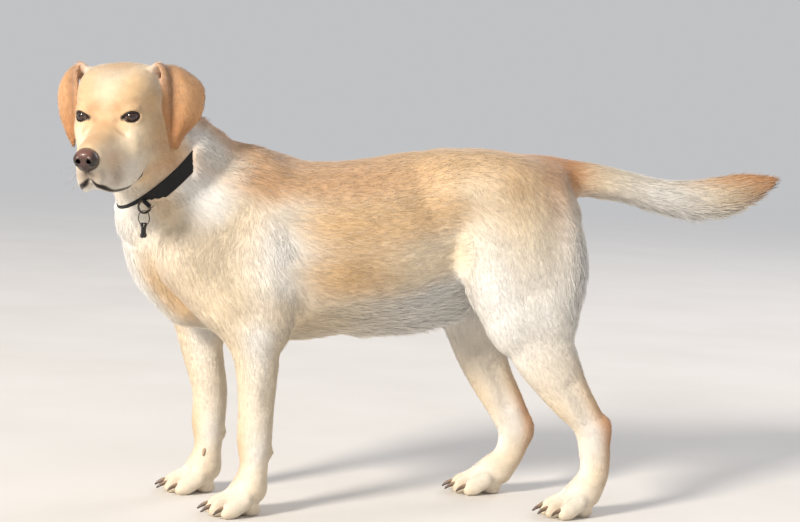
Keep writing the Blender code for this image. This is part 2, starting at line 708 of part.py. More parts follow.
def wire_mesh(name, points, sizes, depth, mat, sides, closed=False):
    """A wire or horn along a few points, made from a bevelled curve."""
    curve = bpy.data.curves.new(name, "CURVE")
    curve.dimensions = "3D"
    curve.bevel_depth = depth
    curve.bevel_resolution = sides // 2 - 2
    curve.use_fill_caps = True
    spline = curve.splines.new("POLY")
    spline.points.add(len(points) - 1)
    spline.use_cyclic_u = closed
    for knot, at, size in zip(spline.points, points, sizes):
        knot.co = (*at, 1.0)
        knot.radius = size
    bent = bpy.data.objects.new(name + "_curve", curve)
    bpy.context.scene.collection.objects.link(bent)
    deps = bpy.context.evaluated_depsgraph_get()
    mesh = bpy.data.meshes.new_from_object(bent.evaluated_get(deps))
    bpy.data.objects.remove(bent)
    obj = bpy.data.objects.new(name, mesh)
    DOG.objects.link(obj)
    mesh.materials.clear()
    mesh.materials.append(mat)
    tidy_mesh(obj)
    return obj


def make_claw(name, root, ahead):
    """A short curved horn running forward and down from the tip of a toe."""
    points, sizes = [], []
    for t in (0.0, 0.6, 1.0):
        down = Vector((0, 0, CLAW_LENGTH * (0.10 * t + 0.45 * t * t)))
        points.append(Vector(root) + Vector(ahead) * CLAW_LENGTH * t - down)
        sizes.append(1.0 - 0.15 * t - 0.63 * t * t)
    return wire_mesh(name, points, sizes, CLAW_RADIUS, CLAW_HORN, 6)


def make_claws(name, at, yaw, hind):
    claws = []
    frame = paw_frame(yaw)
    wide = 0.90 if hind else 1.0
    floor_at = np.array([at[0], at[1], FLOOR])
    for i, (f, s, fan) in enumerate(toe_table(wide)):
        tip = frame[0] * math.cos(fan) + frame[1] * math.sin(fan)
        root = floor_at + f * frame[0] + s * frame[1] + [0, 0, CLAW_ROOT_UP] + CLAW_ROOT_ON * tip
        claws.append(make_claw(f"claw_{name}_{i + 1}", root, tip))
    return claws


def make_dewclaw(name, leg_x, s, z):
    """The small fifth claw on the inner side of a foreleg."""
    root = Vector((leg_x - 0.006, s * 0.068, z))
    ahead = Vector((-0.35, -s * 0.50, -0.80)).normalized()
    points = [root, root + ahead * 0.007, root + ahead * 0.013]
    return wire_mesh(name, points, (1.0, 0.85, 0.30), CLAW_RADIUS * 0.85, CLAW_HORN, 6)


# ---------------------------------------------------------------- collar and tag
def collar_axes():
    up = np.array(COLLAR_UP) / np.linalg.norm(COLLAR_UP)
    side = np.cross(up, [0, 1.0, 0])
    side = side / np.linalg.norm(side)
    return side, np.cross(up, side), up


def neck_reach(neck, centre, direction):
    """How far the coat of the neck lies from a point inside it."""
    start = Vector(centre) + Vector(direction) * 0.20
    hit, where, _, _ = neck.ray_cast(start, -Vector(direction))
    return (where - Vector(centre)).length if hit else 0.07


def collar_reach(neck, level, count):
    """How far out the band runs round one of its edges, as an even loop."""
    a, b, up = collar_axes()
    centre = np.array(COLLAR_AT) + up * level * COLLAR_WIDTH * 0.5
    row = []
    for i in range(count):
        t = 2 * math.pi * i / count
        row.append(neck_reach(neck, centre, a * math.cos(t) + b * math.sin(t)))
    row = np.array(row)
    for _ in range(3):
        row = 0.5 * row + 0.25 * (np.roll(row, 1) + np.roll(row, -1))
    return row - COLLAR_PRESS


def band(name, reach, inner, outer, spare, mat, col):
    """A closed band between two distances outside the loops of its two edges."""
    a, b, up = collar_axes()
    count = len(reach[1])
    middle = 0.5 * (reach[1] + reach[-1])
    slope = (reach[1] - reach[-1]) / COLLAR_WIDTH
    points, faces = [], []
    for i in range(count):
        t = 2 * math.pi * i / count
        out = a * math.cos(t) + b * math.sin(t)
        for level, extra in ((-1, inner), (-1, outer), (1, outer), (1, inner)):
            high = level * (COLLAR_WIDTH * 0.5 + spare)
            reached = middle[i] + slope[i] * high + extra
            points.append(np.array(COLLAR_AT) + up * high + out * reached)
    for i in range(count):
        j = (i + 1) % count
        for k in range(4):
            m = (k + 1) % 4
            faces.append((i * 4 + k, j * 4 + k, j * 4 + m))
            faces.append((i * 4 + k, j * 4 + m, i * 4 + m))
    obj = mesh_object(name, points, faces, mat, col)
    tidy_mesh(obj)
    return obj


def make_collar(neck):
    """The band, and the groove that its pressure leaves in the coat."""
    reach = {level: collar_reach(neck, level, 28) for level in (-1, 1)}
    band("collar", reach, 0.0, COLLAR_THICK, 0.0, WEBBING, DOG)
    groove = band("collar_groove", reach, -SEAT_GAP, GROOVE_DEPTH, GAP, WEBBING, CUTTERS)
    as_cutter(groove)
    boolean(neck, groove, "DIFFERENCE")
    return reach


def ring_place(reach):
    """Where the D-ring's bar lies along the collar's slope, and how the ring hangs from it."""
    a, b, up = collar_axes()
    count = len(reach[1])
    step = round(count * RING_ROUND)
    t = 2 * math.pi * step / count
    out = a * math.cos(t) + b * math.sin(t)
    edge = {level: np.array(COLLAR_AT) + up * level * COLLAR_WIDTH * 0.5
            + out * (reach[level][step] + COLLAR_THICK) for level in (-1, 1)}
    along = edge[1] - edge[-1]
    along = along / np.linalg.norm(along)
    lift = out - along * (along @ out)
    lift = lift / np.linalg.norm(lift)
    bar = 0.5 * (edge[1] + edge[-1]) + lift * (RING_WIRE + KEEPER_WALL + SEAT_GAP)
    hang = np.array(DOWN) - along * (along @ DOWN)
    return bar, along, hang / np.linalg.norm(hang), lift


def make_d_ring(bar, along, hang):
    """A straight bar closed by a half-round bow."""
    path = [(-RING_BAR, 0.0), (0.0, 0.0), (RING_BAR, 0.0)]
    straight = RING_DEPTH - RING_BAR
    for i in range(11):
        turn = math.pi * i / 10
        path.append((RING_BAR * math.cos(turn), straight + RING_BAR * math.sin(turn)))
    points = [Vector(bar + along * a + hang * b) for a, b in path]
    return wire_mesh("collar_d_ring", points, [1.0] * len(points), RING_WIRE, STEEL, 6, True)


def make_keeper(bar, along, lift, ring):
    """The fold of webbing sewn over the D-ring's bar."""
    bpy.ops.mesh.primitive_cylinder_add(vertices=16, radius=RING_WIRE + KEEPER_WALL,
                                        depth=KEEPER_WIDTH)
    keeper = bpy.context.object
    keeper.name = "collar_keeper"
    frame = Matrix([list(np.cross(lift, along)), list(lift), list(along)]).transposed()
    keeper.data.transform(Matrix.Translation(Vector(bar)) @ frame.to_4x4())
    for col in list(keeper.users_collection):
        col.objects.unlink(keeper)
    DOG.objects.link(keeper)
    keeper.data.materials.append(WEBBING)
    boolean(keeper, grown(ring, SEAT_GAP), "DIFFERENCE")
    return keeper


def make_split_ring(bar, along, hang):
    """A thin ring hanging in the lowest bend of the D-ring's bow."""
    turned = np.array([-along[2], -hang[2]]) * RING_BAR
    low = bar + along * turned[0] + hang * (RING_DEPTH - RING_BAR + turned[1])
    drop = SPLIT_RADIUS - SPLIT_WIRE - RING_WIRE - SPLIT_PLAY
    centre = Vector(low) - Vector((0, 0, drop))
    face = Vector((math.cos(SPLIT_TURN), math.sin(SPLIT_TURN), 0))
    bpy.ops.mesh.primitive_torus_add(major_segments=22, minor_segments=6,
                                     major_radius=SPLIT_RADIUS, minor_radius=SPLIT_WIRE)
    ring = bpy.context.object
    ring.name = "split_ring"
    turn = face.to_track_quat("Z", "X").to_matrix().to_4x4()
    ring.data.transform(Matrix.Translation(centre) @ turn)
    for col in list(ring.users_collection):
        col.objects.unlink(ring)
    DOG.objects.link(ring)
    ring.data.materials.append(STEEL)
    return centre, face


def make_tag(centre, face):
    """A flat bone with a hole at one end, hanging edge-on from the split ring."""
    half_w, half_h = TAG_HALF
    knob = half_w * 0.56
    outline = []
    for sx, sy, first in ((1, 1, -60), (-1, 1, 60), (-1, -1, 120), (1, -1, 240)):
        mid = (sx * (half_w - knob), sy * (half_h - knob))
        for i in range(7):
            turn = math.radians(first + i * 30)
            outline.append((mid[0] + knob * math.cos(turn), mid[1] + knob * math.sin(turn)))
    curve = bpy.data.curves.new("tag", "CURVE")
    curve.dimensions = "2D"
    curve.fill_mode = "BOTH"
    curve.extrude = TAG_THICK / 2
    hole_at = (0.0, half_h - knob - 0.0005)
    hole = [(hole_at[0] + 0.0024 * math.cos(math.pi * i / 5),
             hole_at[1] + 0.0024 * math.sin(math.pi * i / 5)) for i in range(10)]
    for loop in (outline, hole):
        spline = curve.splines.new("POLY")
        spline.points.add(len(loop) - 1)
        spline.use_cyclic_u = True
        for knot, (x, y) in zip(spline.points, loop):
            knot.co = (x, y, 0.0, 1.0)
    flat = bpy.data.objects.new("tag_curve", curve)
    bpy.context.scene.collection.objects.link(flat)
    deps = bpy.context.evaluated_depsgraph_get()
    mesh = bpy.data.meshes.new_from_object(flat.evaluated_get(deps))
    bpy.data.objects.remove(flat)
    tag = bpy.data.objects.new("collar_tag", mesh)
    DOG.objects.link(tag)
    mesh.materials.clear()
    mesh.materials.append(TAG_METAL)
    wire = centre - Vector((0, 0, SPLIT_RADIUS))
    normal = Vector((0, 0, 1)).cross(face)
    frame = Matrix([list(face), (0, 0, 1), list(normal)]).transposed().to_4x4()
    shift = Matrix.Translation((-hole_at[0], -hole_at[1], 0))
    mesh.transform(Matrix.Translation(wire) @ frame @ shift)
    tidy_mesh(tag)
    return tag


# ---------------------------------------------------------------- the whole dog
def seat(host, guests):
    """Cut room for each guest into its host, with clear space all round."""
    for guest in guests:
        boolean(host, grown(guest, SEAT_GAP), "DIFFERENCE")


def add_features(parts):
    head = parts["head"]
    ears = [make_ear("ear_left", 1), make_ear("ear_right", -1)]
    eyes = []
    for name, s in (("eye_left", 1), ("eye_right", -1)):
        at = on_head(EYE_AT[0], s * EYE_AT[1], EYE_AT[2])
        eyes.append(make_ball(name, at, (EYE_RADIUS,) * 3, EYEBALL, HEAD, 8, 12))
    nose = make_ball("nose", on_head(*NOSE_AT), NOSE_HALF, NOSE_SKIN, HEAD, 8, 12)
    seat(head, ears + eyes + [nose])
    for name, (at, yaw, hind) in PAWS.items():
        seat(parts["paw_" + name], make_claws(name, at, yaw, hind))
    for name, s, reach in (("left", -1, 0.0), ("right", 1, 0.045)):
        claw = make_dewclaw("dewclaw_" + name, -0.151 - reach, s, FLOOR + 0.072)
        seat(parts["foreleg_" + name], [claw])


def add_collar(neck):
    bar, along, hang, lift = ring_place(make_collar(neck))
    ring = make_d_ring(bar, along, hang)
    make_keeper(bar, along, lift, ring)
    make_tag(*make_split_ring(bar, along, hang))


def centre_on_floor():
    """Move everything so that the dog stands on z = 0 with the origin under its middle."""
    corners = [obj.matrix_world @ Vector(c) for obj in DOG.objects for c in obj.bound_box]
    low = np.min([list(c) for c in corners], 0)
    high = np.max([list(c) for c in corners], 0)
    move = Matrix.Translation((-(low[0] + high[0]) / 2, -(low[1] + high[1]) / 2, -low[2]))
    for obj in list(DOG.objects) + list(CUTTERS.objects):
        obj.data.transform(move)


def shade_round():
    """Shade every part round, with its true edges kept crisp."""
    for obj in DOG.objects:
        obj.data.shade_smooth()
        obj.data.set_sharp_from_angle(angle=ROUND_BELOW)


body_parts = part_body(make_body())
add_features(body_parts)
add_collar(body_parts["neck"])
centre_on_floor()
shade_round()
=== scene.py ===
"""A yellow Labrador Retriever standing, life size: the looks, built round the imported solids."""
import math

import bmesh
import bpy
import numpy as np
from mathutils import Matrix, Vector
from mathutils.kdtree import KDTree


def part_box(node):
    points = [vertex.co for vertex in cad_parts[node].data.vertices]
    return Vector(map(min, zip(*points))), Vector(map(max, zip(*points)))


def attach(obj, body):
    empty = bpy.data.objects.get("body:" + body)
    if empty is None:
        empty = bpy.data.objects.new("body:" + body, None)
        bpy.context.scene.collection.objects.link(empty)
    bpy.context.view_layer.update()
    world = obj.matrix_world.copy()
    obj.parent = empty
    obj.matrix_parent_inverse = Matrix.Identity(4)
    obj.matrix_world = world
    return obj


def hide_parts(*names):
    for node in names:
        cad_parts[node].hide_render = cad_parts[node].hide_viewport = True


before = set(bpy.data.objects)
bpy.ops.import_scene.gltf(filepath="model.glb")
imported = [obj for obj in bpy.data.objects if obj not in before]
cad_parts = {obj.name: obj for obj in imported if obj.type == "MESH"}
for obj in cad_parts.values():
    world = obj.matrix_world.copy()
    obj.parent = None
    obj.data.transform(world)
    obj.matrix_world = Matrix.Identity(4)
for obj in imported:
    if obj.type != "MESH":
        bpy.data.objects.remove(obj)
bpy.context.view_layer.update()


# ---- Camera: a long lens a little above the dog's head, and a little ahead of its left side.
# It is turned slightly, because the ground the dog was seen on sloped.
VIEW_AT = Vector((-0.0383, 0.0597, 0.3801))
VIEW_AZIMUTH = math.radians(-13.0)
VIEW_HEIGHT = math.radians(5.5)
VIEW_ROLL = math.radians(2.78)
VIEW_DISTANCE = 3.6
VIEW_LENS_MM = 104.8

back = Vector((math.sin(VIEW_AZIMUTH) * math.cos(VIEW_HEIGHT),
               -math.cos(VIEW_AZIMUTH) * math.cos(VIEW_HEIGHT), math.sin(VIEW_HEIGHT)))
right = Vector((math.cos(VIEW_AZIMUTH), math.sin(VIEW_AZIMUTH), 0.0))
over = back.cross(right)
rolled = [right * math.cos(VIEW_ROLL) + over * math.sin(VIEW_ROLL),
          over * math.cos(VIEW_ROLL) - right * math.sin(VIEW_ROLL), back]
bpy.ops.object.camera_add(location=VIEW_AT + back * VIEW_DISTANCE)
camera = bpy.context.object
camera.rotation_euler = Matrix(rolled).transposed().to_euler()
camera.data.lens = VIEW_LENS_MM
bpy.context.scene.camera = camera


# ---- The flesh: one form of skin over muscle, gathered from rods and eggs that flow together.
# Its shapes repeat those of the solids, with the folds, lids, lips and toes added. About nine tenths
# of the skin lie inside the solids; ears, lips, feet and the ruff over the strap stand up to 8 mm out.
FLOOR = 0.008                     # height of the floor where the form's own heights are read
FAR_OFF = 0.2                     # a distance from the form that no shape has yet brought down
BACK_BLEND = 0.030                # how widely shapes flow into each other: back, limbs, face, toes
LIMB_BLEND = 0.020
FACE_BLEND = 0.011
TOE_BLEND = 0.006
CREASE = 0.0016                   # half width of the cut between the lips

HEAD_AT = np.array((-0.363, -0.099, 0.592))
HEAD_TURN = math.radians(63.5)
HEAD_NOD = math.radians(7.0)
HEAD_TILT = math.radians(2.5)
EYE_AT = (0.0680, 0.0350, 0.0170)
COLLAR_AT = np.array((-0.288, -0.046, 0.528))
COLLAR_UP = np.array((-0.73, -0.15, 0.66))
COLLAR_UP = COLLAR_UP / np.linalg.norm(COLLAR_UP)


class Lattice:
    """Distance from the form at evenly spaced points of a box."""

    def __init__(self, low, high, step):
        self.low = np.array(low, float)
        self.step = step
        self.count = np.ceil((np.array(high) - self.low) / step).astype(int) + 1
        self.value = np.full(self.count, FAR_OFF, np.float32)

    def block(self, low, high):
        """The part of the box between two corners, and where its points are."""
        first = np.clip(np.floor((low - self.low) / self.step), 0, self.count).astype(int)
        last = np.clip(np.ceil((high - self.low) / self.step) + 1, 0, self.count).astype(int)
        part = tuple(slice(a, b) for a, b in zip(first, last))
        axes = [self.low[i] + self.step * np.arange(first[i], last[i]) for i in range(3)]
        return part, np.stack(np.meshgrid(*axes, indexing="ij"), -1).astype(np.float32)


def blend_in(form, part, dist, blend, sign=1):
    """Flow a shape into the form, or carve it out where sign is -1."""
    old = form.value[part] * sign
    near = np.clip(1.0 - np.abs(old - dist) / blend, 0.0, 1.0)
    form.value[part] = sign * (np.minimum(old, dist) - near * near * blend * 0.25)


def between(rows, turns):
    """A smooth run of rows through the given rows."""
    rows = np.array(rows, float)
    wide = np.vstack([2 * rows[0] - rows[1], rows, 2 * rows[-1] - rows[-2]])
    out = []
    for i in range(1, len(wide) - 2):
        a, b, c, d = wide[i - 1:i + 3]
        for t in np.arange(turns) / turns:
            out.append(0.5 * (2 * b + (c - a) * t + (2 * a - 5 * b + 4 * c - d) * t * t
                              + (3 * b - a - 3 * c + d) * t ** 3))
    out.append(rows[-1])
    return np.array(out)


def muscle(form, rows, blend, side=(0, 1, 0), turns=4, sign=1):
    """A rounded rod through rows of (x, y, z, half width along side, half depth)."""
    run = between(rows, turns)
    reach = (run[:, 3:5].max(1) + blend + 2 * form.step)[:, None]
    part, pts = form.block((run[:, :3] - reach).min(0), (run[:, :3] + reach).max(0))
    if pts.size == 0:
        return
    best = np.full(pts.shape[:-1], 0.5, np.float32)
    side = np.array(side, float)
    for a, b in zip(run[:-1], run[1:]):
        along = b[:3] - a[:3]
        length = np.linalg.norm(along)
        along = along / length
        across = side - along * (side @ along)
        across = across / np.linalg.norm(across)
        depth = np.cross(along, across)
        q = pts - a[:3].astype(np.float32)
        s = q @ along.astype(np.float32)
        t = np.clip(s / length, 0.0, 1.0)
        half_w = a[3] + (b[3] - a[3]) * t
        half_d = a[4] + (b[4] - a[4]) * t
        half_e = np.minimum(half_w, half_d)
        past = (s - t * length) / half_e
        u = (q @ across.astype(np.float32)) / half_w
        v = (q @ depth.astype(np.float32)) / half_d
        k0 = np.sqrt(u * u + v * v + past * past) + 1e-6
        k1 = np.sqrt((u / half_w) ** 2 + (v / half_d) ** 2 + (past / half_e) ** 2) + 1e-4
        best = np.minimum(best, k0 * (k0 - 1.0) / k1)
    blend_in(form, part, best, blend, sign)


def lump(form, at, half, blend, axes=None, sign=1):
    """An egg with its own half sizes along three axes."""
    axes = np.eye(3, dtype=np.float32) if axes is None else np.array(axes, np.float32)
    half = np.array(half, np.float32)
    reach = half.max() + blend + 2 * form.step
    part, pts = form.block(np.array(at) - reach, np.array(at) + reach)
    if pts.size == 0:
        return
    q = ((pts - np.array(at, np.float32)) @ axes.T) / half
    k0 = np.sqrt((q * q).sum(-1)) + 1e-6
    k1 = np.sqrt(((q / half) ** 2).sum(-1)) + 1e-4
    blend_in(form, part, k0 * (k0 - 1.0) / k1, blend, sign)


def head_axes():
    """Forward, left and up of the head, as rows."""
    ct, st = math.cos(HEAD_TURN), math.sin(HEAD_TURN)
    cn, sn = math.cos(HEAD_NOD), math.sin(HEAD_NOD)
    forward = np.array([-ct * cn, -st * cn, -sn])
    left = np.array([st, -ct, 0.0])
    up = np.cross(forward, left)
    cr, sr = math.cos(HEAD_TILT), math.sin(HEAD_TILT)
    return np.array([forward, left * cr + up * sr, up * cr - left * sr])


HEAD = head_axes()


def on_head(f, s, u):
    """The place that is so far forward, left and up of the middle of the head."""
    return HEAD_AT + f * HEAD[0] + s * HEAD[1] + u * HEAD[2]


def head_rows(rows):
    """Rows whose places are given on the head, as places of the body."""
    return [(*on_head(*row[:3]), *row[3:]) for row in rows]


def in_head(points):
    """Forward, left and up of the head, for points of the body."""
    return (points - HEAD_AT) @ HEAD.T


# Rods of the body: x, y, z, half width and half depth, from the front to the rear.
RIBS = [(-0.264, 0, 0.405, 0.075, 0.088),
        (-0.220, 0, 0.412, 0.098, 0.128),
        (-0.160, 0, 0.410, 0.112, 0.142),
        (-0.090, 0, 0.402, 0.119, 0.140),
        (-0.020, 0, 0.408, 0.120, 0.134),
        (0.045, 0, 0.417, 0.112, 0.133),
        (0.105, 0, 0.433, 0.098, 0.129),
        (0.165, 0, 0.447, 0.088, 0.117),
        (0.225, 0, 0.463, 0.080, 0.100),
        (0.285, 0, 0.482, 0.066, 0.074)]
BREAST = [(-0.330, -0.046, 0.500, 0.045, 0.043),
          (-0.312, -0.014, 0.438, 0.054, 0.047),
          (-0.283, 0.000, 0.376, 0.054, 0.053),
          (-0.246, 0.000, 0.330, 0.046, 0.050)]
NECK = [(-0.165, 0.000, 0.430, 0.086, 0.118),
        (-0.215, -0.010, 0.468, 0.081, 0.104),
        (-0.262, -0.032, 0.508, 0.074, 0.085),
        (-0.302, -0.058, 0.544, 0.070, 0.075),
        (-0.345, -0.084, 0.582, 0.065, 0.068)]
TAIL = [(0.285, 0, 0.515, 0.034, 0.036),
        (0.330, 0, 0.526, 0.029, 0.0320),
        (0.385, 0, 0.523, 0.026, 0.0300),
        (0.440, 0, 0.515, 0.023, 0.0255),
        (0.500, 0, 0.502, 0.021, 0.0280),
        (0.555, 0, 0.499, 0.019, 0.0330),
        (0.600, 0, 0.506, 0.017, 0.0335),
        (0.645, 0, 0.520, 0.013, 0.0265),
        (0.684, 0, 0.532, 0.008, 0.0115)]


def add_trunk(form):
    """Barrel, rump, breast and sheath."""
    muscle(form, RIBS, BACK_BLEND, turns=6)
    sheath = [(0.020, 0, 0.294, 0.020, 0.016),
              (0.110, 0, 0.300, 0.022, 0.020),
              (0.165, 0, 0.312, 0.018, 0.018)]
    muscle(form, sheath, 0.040)
    for s in (-1, 1):
        rump = [(0.150, s * 0.040, 0.500, 0.055, 0.062),
                (0.225, s * 0.045, 0.505, 0.058, 0.060),
                (0.290, s * 0.036, 0.498, 0.045, 0.052)]
        muscle(form, rump, BACK_BLEND)
    muscle(form, BREAST, BACK_BLEND, turns=9)


def add_shoulder(form, s, reach):
    """The blade, the upper arm and the elbow; reach is how far forward the elbow stands."""
    blade = [(-0.150, s * 0.038, 0.515, 0.036, 0.050),
             (-0.205, s * 0.068, 0.455, 0.040, 0.062),
             (-0.262, s * 0.082, 0.392, 0.036, 0.050)]
    muscle(form, blade, LIMB_BLEND)
    arm = [(-0.262, s * 0.078, 0.385, 0.038, 0.046),
           (-0.205 - reach * 0.5, s * 0.086, 0.335, 0.040, 0.052),
           (-0.155 - reach, s * 0.088, 0.285, 0.036, 0.044)]
    muscle(form, arm, LIMB_BLEND)
    triceps = [(-0.150, s * 0.076, 0.440, 0.034, 0.050),
               (-0.150 - reach * 0.5, s * 0.088, 0.370, 0.038, 0.054),
               (-0.140 - reach, s * 0.092, 0.305, 0.034, 0.044)]
    muscle(form, triceps, LIMB_BLEND)
    fold = [(-0.120, s * 0.118, 0.470, 0.004, 0.010),
            (-0.112, s * 0.130, 0.400, 0.005, 0.012),
            (-0.108 - reach * 0.5, s * 0.128, 0.330, 0.004, 0.009)]
    muscle(form, fold, 0.010, sign=-1)


def foreleg_rows(s, reach, lean):
    """The rod of a foreleg, which stands reach further forward and leans back above the wrist."""
    x = -0.151 - reach
    return [(x - 0.006 - lean, s * 0.090, 0.285, 0.034, 0.043),
            (x - 0.001 - lean * 0.7, s * 0.089, 0.225, 0.029, 0.034),
            (x, s * 0.087, 0.170, 0.026, 0.029),
            (x, s * 0.086, 0.120, 0.026, 0.028),
            (x + 0.001, s * 0.085, 0.085, 0.023, 0.023),
            (x - 0.004, s * 0.086, 0.050, 0.024, 0.023)]


def add_foreleg(form, s, reach, lean):
    """Forearm, wrist and pastern of one foreleg, with the pad behind the wrist and the elbow."""
    x = -0.151 - reach
    muscle(form, foreleg_rows(s, reach, lean), LIMB_BLEND)
    lump(form, (x + 0.024, s * 0.087, 0.104), (0.008, 0.009, 0.011), TOE_BLEND)
    lump(form, (x + 0.026 - lean, s * 0.094, 0.292), (0.020, 0.020, 0.028), 0.016)
    hollow = [(x + 0.020 - lean, s * 0.122, 0.235, 0.004, 0.006),
              (x + 0.014, s * 0.114, 0.170, 0.003, 0.005)]
    muscle(form, hollow, 0.012, sign=-1)


def add_thigh(form, s, shift):
    """Thigh muscles of one side; shift is how far forward the knee stands."""
    front = [(0.215, s * 0.060, 0.470, 0.038, 0.060),
             (0.208 - shift, s * 0.086, 0.390, 0.040, 0.056),
             (0.232 - shift, s * 0.094, 0.315, 0.036, 0.044)]
    muscle(form, front, LIMB_BLEND)
    behind = [(0.300, s * 0.045, 0.470, 0.042, 0.052),
              (0.302 - shift * 0.6, s * 0.070, 0.390, 0.044, 0.060),
              (0.295 - shift, s * 0.088, 0.315, 0.036, 0.050)]
    muscle(form, behind, LIMB_BLEND)
    side = [(0.258, s * 0.062, 0.470, 0.040, 0.048),
            (0.254 - shift * 0.8, s * 0.082, 0.390, 0.041, 0.050),
            (0.263 - shift, s * 0.090, 0.315, 0.036, 0.042)]
    muscle(form, side, LIMB_BLEND)


# Rods of the hind legs from the knee down: the left one is set back.
NEAR_HIND = [(0.264, -0.092, 0.320, 0.036, 0.059),
             (0.291, -0.098, 0.262, 0.031, 0.053),
             (0.327, -0.098, 0.205, 0.025, 0.039),
             (0.366, -0.097, 0.155, 0.019, 0.028),
             (0.379, -0.096, 0.115, 0.018, 0.0270),
             (0.381, -0.095, 0.075, 0.019, 0.0235),
             (0.370, -0.095, 0.045, 0.022, 0.022)]
FAR_HIND = [(0.222, 0.088, 0.320, 0.036, 0.058),
            (0.232, 0.090, 0.262, 0.031, 0.048),
            (0.254, 0.088, 0.205, 0.025, 0.0385),
            (0.285, 0.084, 0.150, 0.019, 0.0330),
            (0.302, 0.082, 0.112, 0.018, 0.0300),
            (0.295, 0.082, 0.076, 0.019, 0.0250),
            (0.280, 0.083, 0.045, 0.022, 0.022)]


def add_hindleg(form, rows, knee, hock):
    """Shank, hock and pastern, with the hollow that lies ahead of the Achilles tendon."""
    muscle(form, rows, LIMB_BLEND)
    lump(form, knee, (0.026, 0.024, 0.030), LIMB_BLEND)
    lump(form, hock, (0.013, 0.014, 0.020), 0.014)
    for side in (-1, 1):
        groove = [(rows[2][0] + 0.004, rows[2][1] + side * 0.027, rows[2][2] + 0.010, 0.004, 0.006),
                  (rows[3][0] - 0.001, rows[3][1] + side * 0.021, rows[3][2] + 0.004, 0.004, 0.006)]
        muscle(form, groove, 0.012, sign=-1)


# Each paw: where it stands, how it is turned, and its width against a fore paw's.
PAWS = {"fore_left": ((-0.167, -0.088), 0.06, 1.0),
        "fore_right": ((-0.210, 0.088), -0.02, 1.0),
        "hind_left": ((0.352, -0.097), 0.08, 0.90),
        "hind_right": ((0.254, 0.086), -0.06, 0.90)}


def paw_axes(yaw):
    """Forward, left and up of a paw, as rows."""
    c, n = math.cos(yaw), math.sin(yaw)
    return np.array([[-c, -n, 0], [n, -c, 0], [0, 0, 1.0]])


def add_paw(form, at, yaw, wide):
    """Four arched toes, each with its pad, and the heel pad."""
    axes = paw_axes(yaw)

    def spot(f, s, z):
        return np.array([at[0], at[1], FLOOR + z]) + f * axes[0] + s * axes[1]

    heel = [(*spot(-0.012, 0, 0.040), 0.023 * wide, 0.021),
            (*spot(0.000, 0, 0.030), 0.027 * wide, 0.022),
            (*spot(0.012, 0, 0.020), 0.029 * wide, 0.018)]
    muscle(form, heel, LIMB_BLEND, side=axes[1], turns=3)
    lump(form, spot(-0.012, 0, 0.009), (0.018, 0.020 * wide, 0.013), TOE_BLEND, axes)
    toes = [(0.017, 0.0300, 0.16), (0.031, 0.0112, 0.05), (0.031, -0.0112, -0.05), (0.017, -0.0300, -0.16)]
    for f, s, fan in toes:
        s = s * wide
        tip = axes[0] * math.cos(fan) + axes[1] * math.sin(fan)
        across = axes[1] * math.cos(fan) - axes[0] * math.sin(fan)
        row = [(*spot(f - 0.018, s * 0.88, 0.026), 0.0112 * wide, 0.0130),
               (*(spot(f, s, 0.0150) + 0.003 * tip), 0.0112 * wide, 0.0155),
               (*(spot(f, s, 0.0095) + 0.013 * tip), 0.0100 * wide, 0.0110)]
        muscle(form, row, TOE_BLEND * 1.2, side=across, turns=3)
    for s in (-0.0206, 0.0, 0.0206):
        split = [(*spot(0.010, s * 0.85 * wide, 0.038), 0.0003, 0.0010),
                 (*spot(0.026, s * wide, 0.034), 0.0010, 0.0040),
                 (*spot(0.044 - abs(s) * 0.5, s * wide * 1.05, 0.014), 0.0014, 0.0080)]
        muscle(form, split, 0.005, side=axes[1], turns=3, sign=-1)


def add_head(form):
    """Skull, brow, cheeks, muzzle with its hanging lips, and lower jaw."""
    lump(form, on_head(-0.004, 0, 0.027), (0.070, 0.060, 0.058), FACE_BLEND, HEAD)
    lump(form, on_head(-0.042, 0, 0.018), (0.036, 0.046, 0.044), FACE_BLEND, HEAD)
    lump(form, on_head(0.034, 0, 0.036), (0.040, 0.045, 0.036), 0.020, HEAD)
    for s in (-1, 1):
        lump(form, on_head(0.008, s * 0.034, 0.046), (0.048, 0.026, 0.034), 0.020, HEAD)
        lump(form, on_head(0.053, s * 0.026, 0.034), (0.024, 0.021, 0.018), 0.018, HEAD)
        lump(form, on_head(0.044, s * 0.034, 0.003), (0.033, 0.023, 0.026), 0.016, HEAD)
        cheek = [(-0.020, s * 0.039, -0.022, 0.026, 0.044),
                 (0.028, s * 0.039, -0.022, 0.024, 0.040),
                 (0.066, s * 0.031, -0.026, 0.019, 0.030)]
        muscle(form, head_rows(cheek), 0.018, side=HEAD[1], turns=6)
        flew = [(0.054, s * 0.034, -0.051, 0.014, 0.027),
                (0.086, s * 0.028, -0.057, 0.014, 0.030),
                (0.116, s * 0.019, -0.0565, 0.014, 0.0295),
                (0.142, s * 0.0105, -0.0515, 0.0110, 0.0245)]
        muscle(form, head_rows(flew), 0.012, side=HEAD[1], turns=6)
    bridge = [(0.048, 0, 0.002, 0.034, 0.024),
              (0.078, 0, -0.008, 0.025, 0.020),
              (0.110, 0, -0.016, 0.021, 0.017),
              (0.146, 0, -0.024, 0.018, 0.015)]
    muscle(form, head_rows(bridge), 0.018, side=HEAD[1], turns=6)
    muzzle = [(0.050, 0, -0.022, 0.042, 0.030),
              (0.090, 0, -0.032, 0.033, 0.026),
              (0.122, 0, -0.036, 0.026, 0.023),
              (0.146, 0, -0.038, 0.018, 0.018)]
    muscle(form, head_rows(muzzle), FACE_BLEND, side=HEAD[1], turns=6)
    jaw = [(0.000, 0, -0.050, 0.044, 0.032),
           (0.060, 0, -0.066, 0.031, 0.026),
           (0.092, 0, -0.073, 0.020, 0.0145),
           (0.110, 0, -0.0735, 0.015, 0.0105)]
    muscle(form, head_rows(jaw), FACE_BLEND, side=HEAD[1], turns=6)


